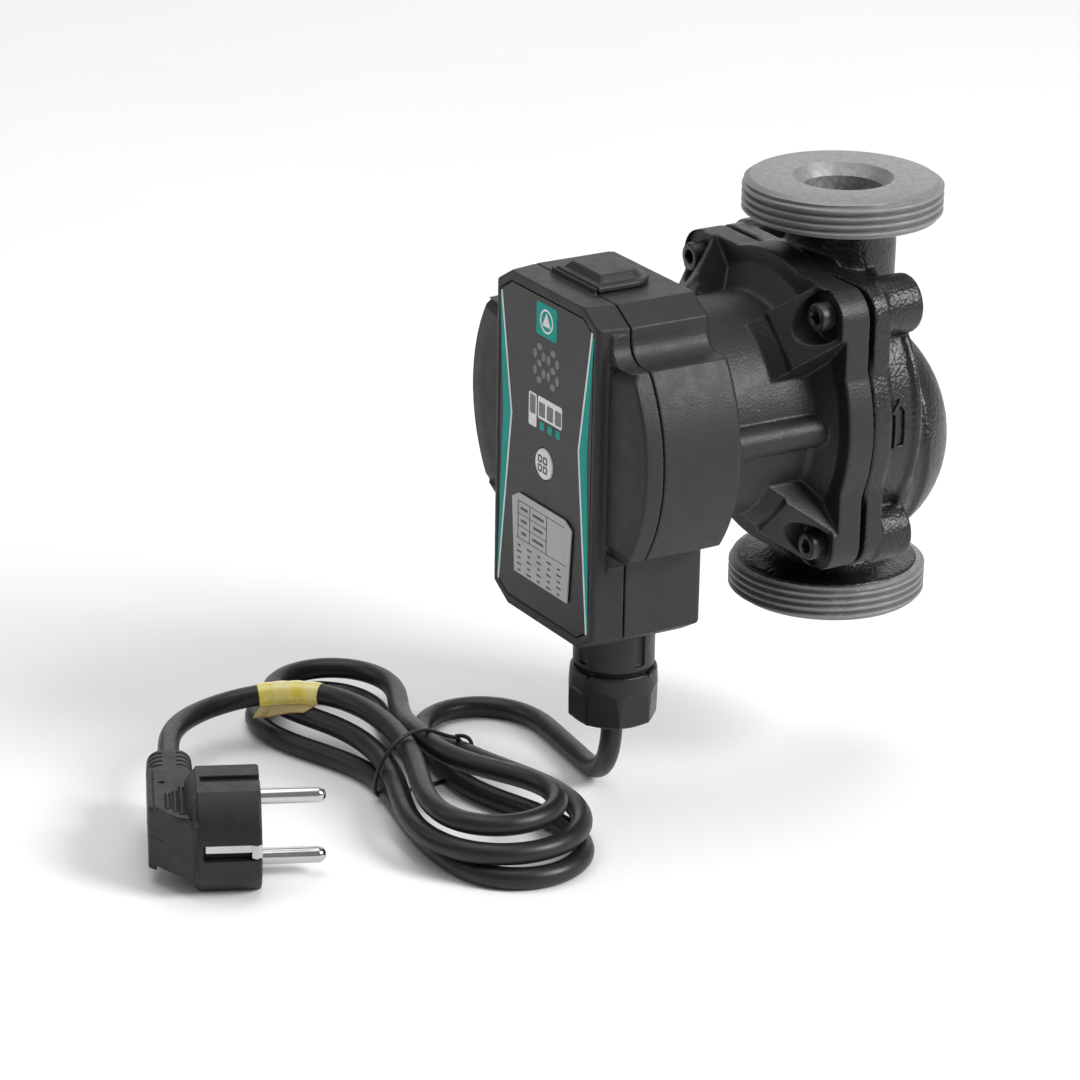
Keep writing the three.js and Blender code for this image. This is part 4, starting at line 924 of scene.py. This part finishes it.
def plug_body():
    RADIUS, DEPTH, FLAT, BLOCK = 18, 18.3, 15.4, 9.0
    head = carve(lathe([(0, -DEPTH), (RADIUS - 0.5, -DEPTH), (RADIUS, -DEPTH + 0.5), (RADIUS, -0.5),
                        (RADIUS - 0.5, 0), (0, 0)], "Y"),
                 (KEEP, block(-30, 30, -DEPTH - 1, 1, -FLAT, FLAT)))
    neck = loft([at_y(rounded_rectangle(13.2, BLOCK, 4), -21.6),
                 at_y(rounded_rectangle(17.4, FLAT - 0.5, 6), -DEPTH + 0.4)])
    neck = carve(neck, (KEEP, lathe(oblong(0, RADIUS - 0.5, -30, 0), "Y")))
    outline = rounded([(-23, -32), (3.5, -32), (18.2, -18.4), (12, -17.4), (-16, -17.4), (-23, -20)],
                      [1.2, 2.2, 1.2, 0, 0, 1.2], 5)
    ends = [(x * 0.985, -25 + (y + 25) * 0.94) for x, y in outline]
    layers = ((ends, -BLOCK), (outline, -BLOCK + 1.0), (outline, BLOCK - 1.0), (ends, BLOCK))
    body = loft([[(x, y, z) for x, y in points] for points, z in layers])
    cover = prism(rounded([(-21, -30.1), (5.5, -30.1), (12.6, -24.2), (14.5, -20.4), (-15, -20.4)], 0.6, 3),
                  BLOCK - 1, BLOCK + 0.7, "Z")
    foot = prism(rounded([(-3.5, -32), (3.2, -32), (5.6, -29.6), (-3.5, -29.6)], 0.4, 3), -BLOCK - 1.4,
                 -BLOCK + 1, "Z")
    cuts = []
    for side in (-1, 1):
        cuts.append(block(*((14.7, 30) if side > 0 else (-30, -14.7)), -16.7, 1, -2.4, 2.4))
        cuts.append(lathe([(0, -9.3), (2.7, -9.3), (2.7, -0.4), (3.3, 0.3), (3.3, 1), (0, 1)], "Y", 0,
                          side * PIN_OFFSET, 32))
        cuts.append(block(-1.9, 1.9, -17.0, 1, *((FLAT - 1.5, 20) if side > 0 else (-20, -FLAT + 1.5))))
    for x0, x1, y in ((-3.5, 7.4, -26.2), (-4.8, 9.4, -24.1), (-7.5, 11.4, -22.2)):
        for shift in (-0.6, 0.6):
            cuts.append(block(x0, x1, y + shift - 0.27, y + shift + 0.27, BLOCK + 0.2, BLOCK + 2))
        cuts.append(block(x1 - 0.54, x1, y - 0.6, y + 0.6, BLOCK + 0.2, BLOCK + 2))
    cuts.append(ellipsoid((-11.2, -27.7, BLOCK + 0.5), (0.8, 1.0, 1.4), 16, 24))
    parting = rounded([(-24, -33), (4.6, -33), (21, -18), (21, -17.2), (20, -17.2), (3.7, -31.4),
                       (-24, -31.4)], 0, 1)
    inside = prism([(x * 0.985, -25 + (y + 25) * 0.965) for x, y in outline], -1, 1, "Z")
    cuts.append(carve(prism(parting, -0.3, 0.3, "Z"), (CUT, inside)))
    return in_plug_place(solid([head, neck, body, cover, foot], cuts))


def plug_sleeve():
    START, END, Y = -22.4, -42.0, -25.0
    rings = []
    for x, half_y, half_z in ((START, 7.0, 7.2), (-36, 6.75, 6.7), (-40.2, 6.6, 6.5), (-41.4, 6.2, 6.1),
                              (END, 5.2, 5.1)):
        rings.append([(x, Y + a, b) for a, b in rounded_rectangle(half_y, half_z, min(half_y, half_z) * 0.62,
                                                                  steps=8)])
    cuts = []
    for i in range(5):
        x = -26.2 - 3.05 * i
        slit = block(x - 0.42, x + 0.42, Y - 9, Y + 9, -9, 9)
        core = prism([(Y + a, b) for a, b in rounded_rectangle(5.5, 5.5, 3.2)], x - 1, x + 1, "X")
        bridge = block(x - 1, x + 1, Y - 2.0, Y + 2.0, -9, 9)
        cuts.append(carve(slit, (CUT, core), (CUT, bridge)))
    cuts.append(lathe(drum_profile(3.4, -50, -20), "X", Y, 0, 40))
    return in_plug_place(solid([loft(rings)], cuts))


def plug_pin(side):
    """A pin of the standard plug: 4.8 mm thick and 19 mm long."""
    profile = [(0, -9), (2.4, -9), (2.4, 16.6), (2.25, 17.4), (1.75, 18.3), (1.0, 18.85), (0, 19)]
    return in_plug_place(lathe(profile, "Y", 0, side * PIN_OFFSET, 56))


def earth_contact(side):
    strip = rounded(on_side([(14.9, -16.2), (16.7, -16.2), (16.9, -4), (16.2, -1.2), (15.2, -0.9),
                             (14.9, -2)], side), 0.4, 3)
    lug = prism(on_side([(14.9, -2.9), (17.1, -2.9), (17.5, -1.2), (16.4, 0.1), (14.9, 0.1)], side), -2.1,
                2.1, "Z")
    return in_plug_place(solid([prism(strip, -0.2, 2.2, "Z"), lug]))


plug = [
    piece("plug_shell", plug_body(), "plug_plastic", replaces=["plug_body"], voxel=0.2, smooth=1),
    piece("plug_grip", plug_sleeve(), "plug_plastic", replaces=["plug_sleeve"], slot="cord_sheath", voxel=0.2,
          smooth=1),
]
for place, side in (("upper", 1), ("lower", -1)):
    plug.append(piece(f"plug_rod_{place}", plug_pin(side), "plug_metal", replaces=[f"plug_pin_{place}"]))
for place, side in (("near", 1), ("far", -1)):
    plug.append(piece(f"plug_clip_{place}", earth_contact(side), "plug_metal",
                      replaces=[f"plug_earth_contact_{place}"], bevel=0.15))


# -------------- tie and tag

TIE = [
    (-33.6, -108.6, -41.6), (-34.2, -109.3, -40.3), (-33.2, -111.8, -39.3), (-31.8, -116.9, -36.5),
    (-31.0, -120.8, -33.9), (-30.3, -125.4, -33.1), (-29.6, -130.0, -33.2), (-29.0, -134.4, -35.4),
    (-28.8, -138.6, -39.8), (-29.8, -140.0, -45.5), (-31.4, -139.6, -51.0), (-32.2, -136.6, -53.5),
    (-32.8, -127.0, -53.4), (-33.2, -115.0, -53.4), (-33.4, -108.4, -53.0), (-33.4, -105.2, -49.0),
    (-33.2, -104.4, -44.0), (-32.8, -105.9, -40.4), (-33.2, -108.3, -39.4), (-33.9, -110.2, -39.6),
]
tie = wire("hank_tie", TIE, 0.62, "tie_plastic", sides=4)
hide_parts("cord_tie")


def cord_line(parameter):
    """A point of the lead's line and its direction, from the control points on either side of the tag."""
    BEFORE_TAIL, INTO_TAIL = 5, 3
    points = [Vector(p) for p in ROUTE[-len(TAIL) - BEFORE_TAIL: INTO_TAIL - len(TAIL)]]
    i = min(int(parameter), len(points) - 4)
    t = parameter - i
    weights = ((1 - t) ** 3 / 6, (3 * t ** 3 - 6 * t * t + 4) / 6,
               (-3 * t ** 3 + 3 * t * t + 3 * t + 1) / 6, t ** 3 / 6)
    slopes = (-(1 - t) ** 2 / 2, (3 * t * t - 4 * t) / 2, (-3 * t * t + 2 * t + 1) / 2, t * t / 2)
    here = sum((p * w for p, w in zip(points[i:i + 4], weights)), Vector())
    along = sum((p * w for p, w in zip(points[i:i + 4], slopes)), Vector())
    return here, along.normalized()


def film_tag():
    """A strip of film laid round the lead, creased across, with one end left free as a short flap."""
    ROWS, AROUND, ALONG_FLAP, RADIUS, FLAP = 48, 30, 10, 3.5, 4.2
    START, END, CREASES = 2.2, 4.0, 4
    WRAP_FROM, WRAP_TO = math.radians(215), math.radians(-38)
    verts, faces = [], []
    for i in range(ROWS + 1):
        u = i / ROWS
        here, along = cord_line(START + (END - START) * u)
        side = along.cross(Vector((0, 0, 1))).normalized()
        side = -side if side.x < 0 else side
        up = side.cross(along).normalized()
        up = -up if up.z < 0 else up
        crease = abs(math.sin(math.pi * CREASES * u))
        for j in range(AROUND + 1):
            angle = WRAP_FROM + (WRAP_TO - WRAP_FROM) * j / AROUND
            radius = RADIUS + 0.2 * crease
            verts.append(tuple(here + side * radius * math.cos(angle) + up * radius * math.sin(angle)))
        root = Vector(verts[-1])
        for j in range(1, ALONG_FLAP + 1):
            out = FLAP * j / ALONG_FLAP
            wave = 0.5 * math.sin(5.5 * u + 1.0) * j / ALONG_FLAP + 0.2 * crease * j / ALONG_FLAP
            slip, drop = 0.75 * out, 0.60 * out - wave
            verts.append(tuple(root + side * (0.80 * out + wave * 0.4) - up * drop + along * slip))
    across = AROUND + ALONG_FLAP + 1
    for i in range(ROWS):
        for j in range(across - 1):
            a = i * across + j
            faces.append([a, a + 1, a + across + 1, a + across])
    tag = bare_object("film_tag", bpy.data.meshes.new("film_tag"))
    tag.data.from_pydata([[c * MM for c in p] for p in verts], [], faces)
    tag.data.materials.append(LOOKS["tag_paper"])
    # The flap's faces take the darker copy of the film as painted shade; the wrapped part keeps the plain
    # film.
    tag.data.materials.append(LOOKS["tag_flap_painted_shade"])
    for face in tag.data.polygons:
        face.material_index = 1 if face.index % (across - 1) > AROUND else 0
    modifier = tag.modifiers.new("thickness", "SOLIDIFY")
    modifier.thickness, modifier.offset = 0.16 * MM, 1
    settle(tag)
    tag.data.polygons.foreach_set("use_smooth", [True] * len(tag.data.polygons))
    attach(tag, "pump")
    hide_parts("cord_tag")
    return tag


tag = film_tag()


# -------------- CAD nodes that stay

SLOT_OF = {
    "wear_ring": "stainless", "casing_gasket": "gasket_rubber", "stator_core": "lamination",
    "stator_windings": "copper_winding", "rotor_can": "stainless", "bearing_plate": "stainless",
    "front_bearing": "carbon_bearing", "rear_bearing": "carbon_bearing", "rotor_shaft": "ceramic_shaft",
    "rotor_magnet": "magnet", "rotor_sleeve": "stainless", "thrust_washer": "carbon_bearing",
    "impeller": "impeller_plastic", "impeller_cover": "impeller_plastic", "front_overlay": "overlay_film",
    "rating_label": "label_film", "button_dome": "stainless", "control_board": "board",
    "filter_capacitor": "capacitor", "terminal_block": "terminal", "gland_locknut": "gland_plastic",
    "gland_seal": "gasket_rubber", "supply_cable_end": "cord_sheath",
}
for name, slot_name in SLOT_OF.items():
    node = NODES[name]
    node.data.materials.clear()
    node.data.materials.append(LOOKS[slot_name])


# -------------- floor and light

FLOOR_Z = -54.0


def stage():
    HALF = 9000
    verts = [(x, y, FLOOR_Z) for x, y in oblong(-HALF, HALF, -HALF, HALF)]
    floor = bare_object("floor", bpy.data.meshes.new("floor"))
    floor.data.from_pydata([[c * MM for c in p] for p in verts], [], [[0, 1, 2, 3]])
    floor.data.materials.append(LOOKS["floor"])


def area_light(name, place, target, size, power):
    data = bpy.data.lights.new(name, "AREA")
    data.shape, data.size, data.size_y, data.energy = "RECTANGLE", size[0], size[1], power
    lamp = bpy.data.objects.new(name, data)
    bpy.context.scene.collection.objects.link(lamp)
    lamp.location = place
    lamp.rotation_mode = "QUATERNION"
    lamp.rotation_quaternion = (Vector(target) - Vector(place)).to_track_quat("-Z", "Y")


def studio():
    WORLD_STRENGTH = 0.28
    bpy.context.scene.view_settings.view_transform = "Standard"
    world = bpy.data.worlds.new("studio")
    bpy.context.scene.world = world
    world.use_nodes = True
    background = world.node_tree.nodes["Background"]
    background.inputs["Color"].default_value = (1, 1, 1, 1)
    background.inputs["Strength"].default_value = WORLD_STRENGTH
    centre = (-0.02, -0.08, 0.03)
    area_light("key", (1.15, 0.75, 1.05), centre, (0.6, 0.8), 32)
    area_light("top", (-0.2, -0.2, 1.7), centre, (1.6, 1.6), 15)
    area_light("back", (-1.75, 1.06, 0.85), centre, (2.4, 1.3), 11)
    area_light("left", (-0.9, -1.5, 0.9), centre, (1.0, 1.0), 3)


stage()
studio()
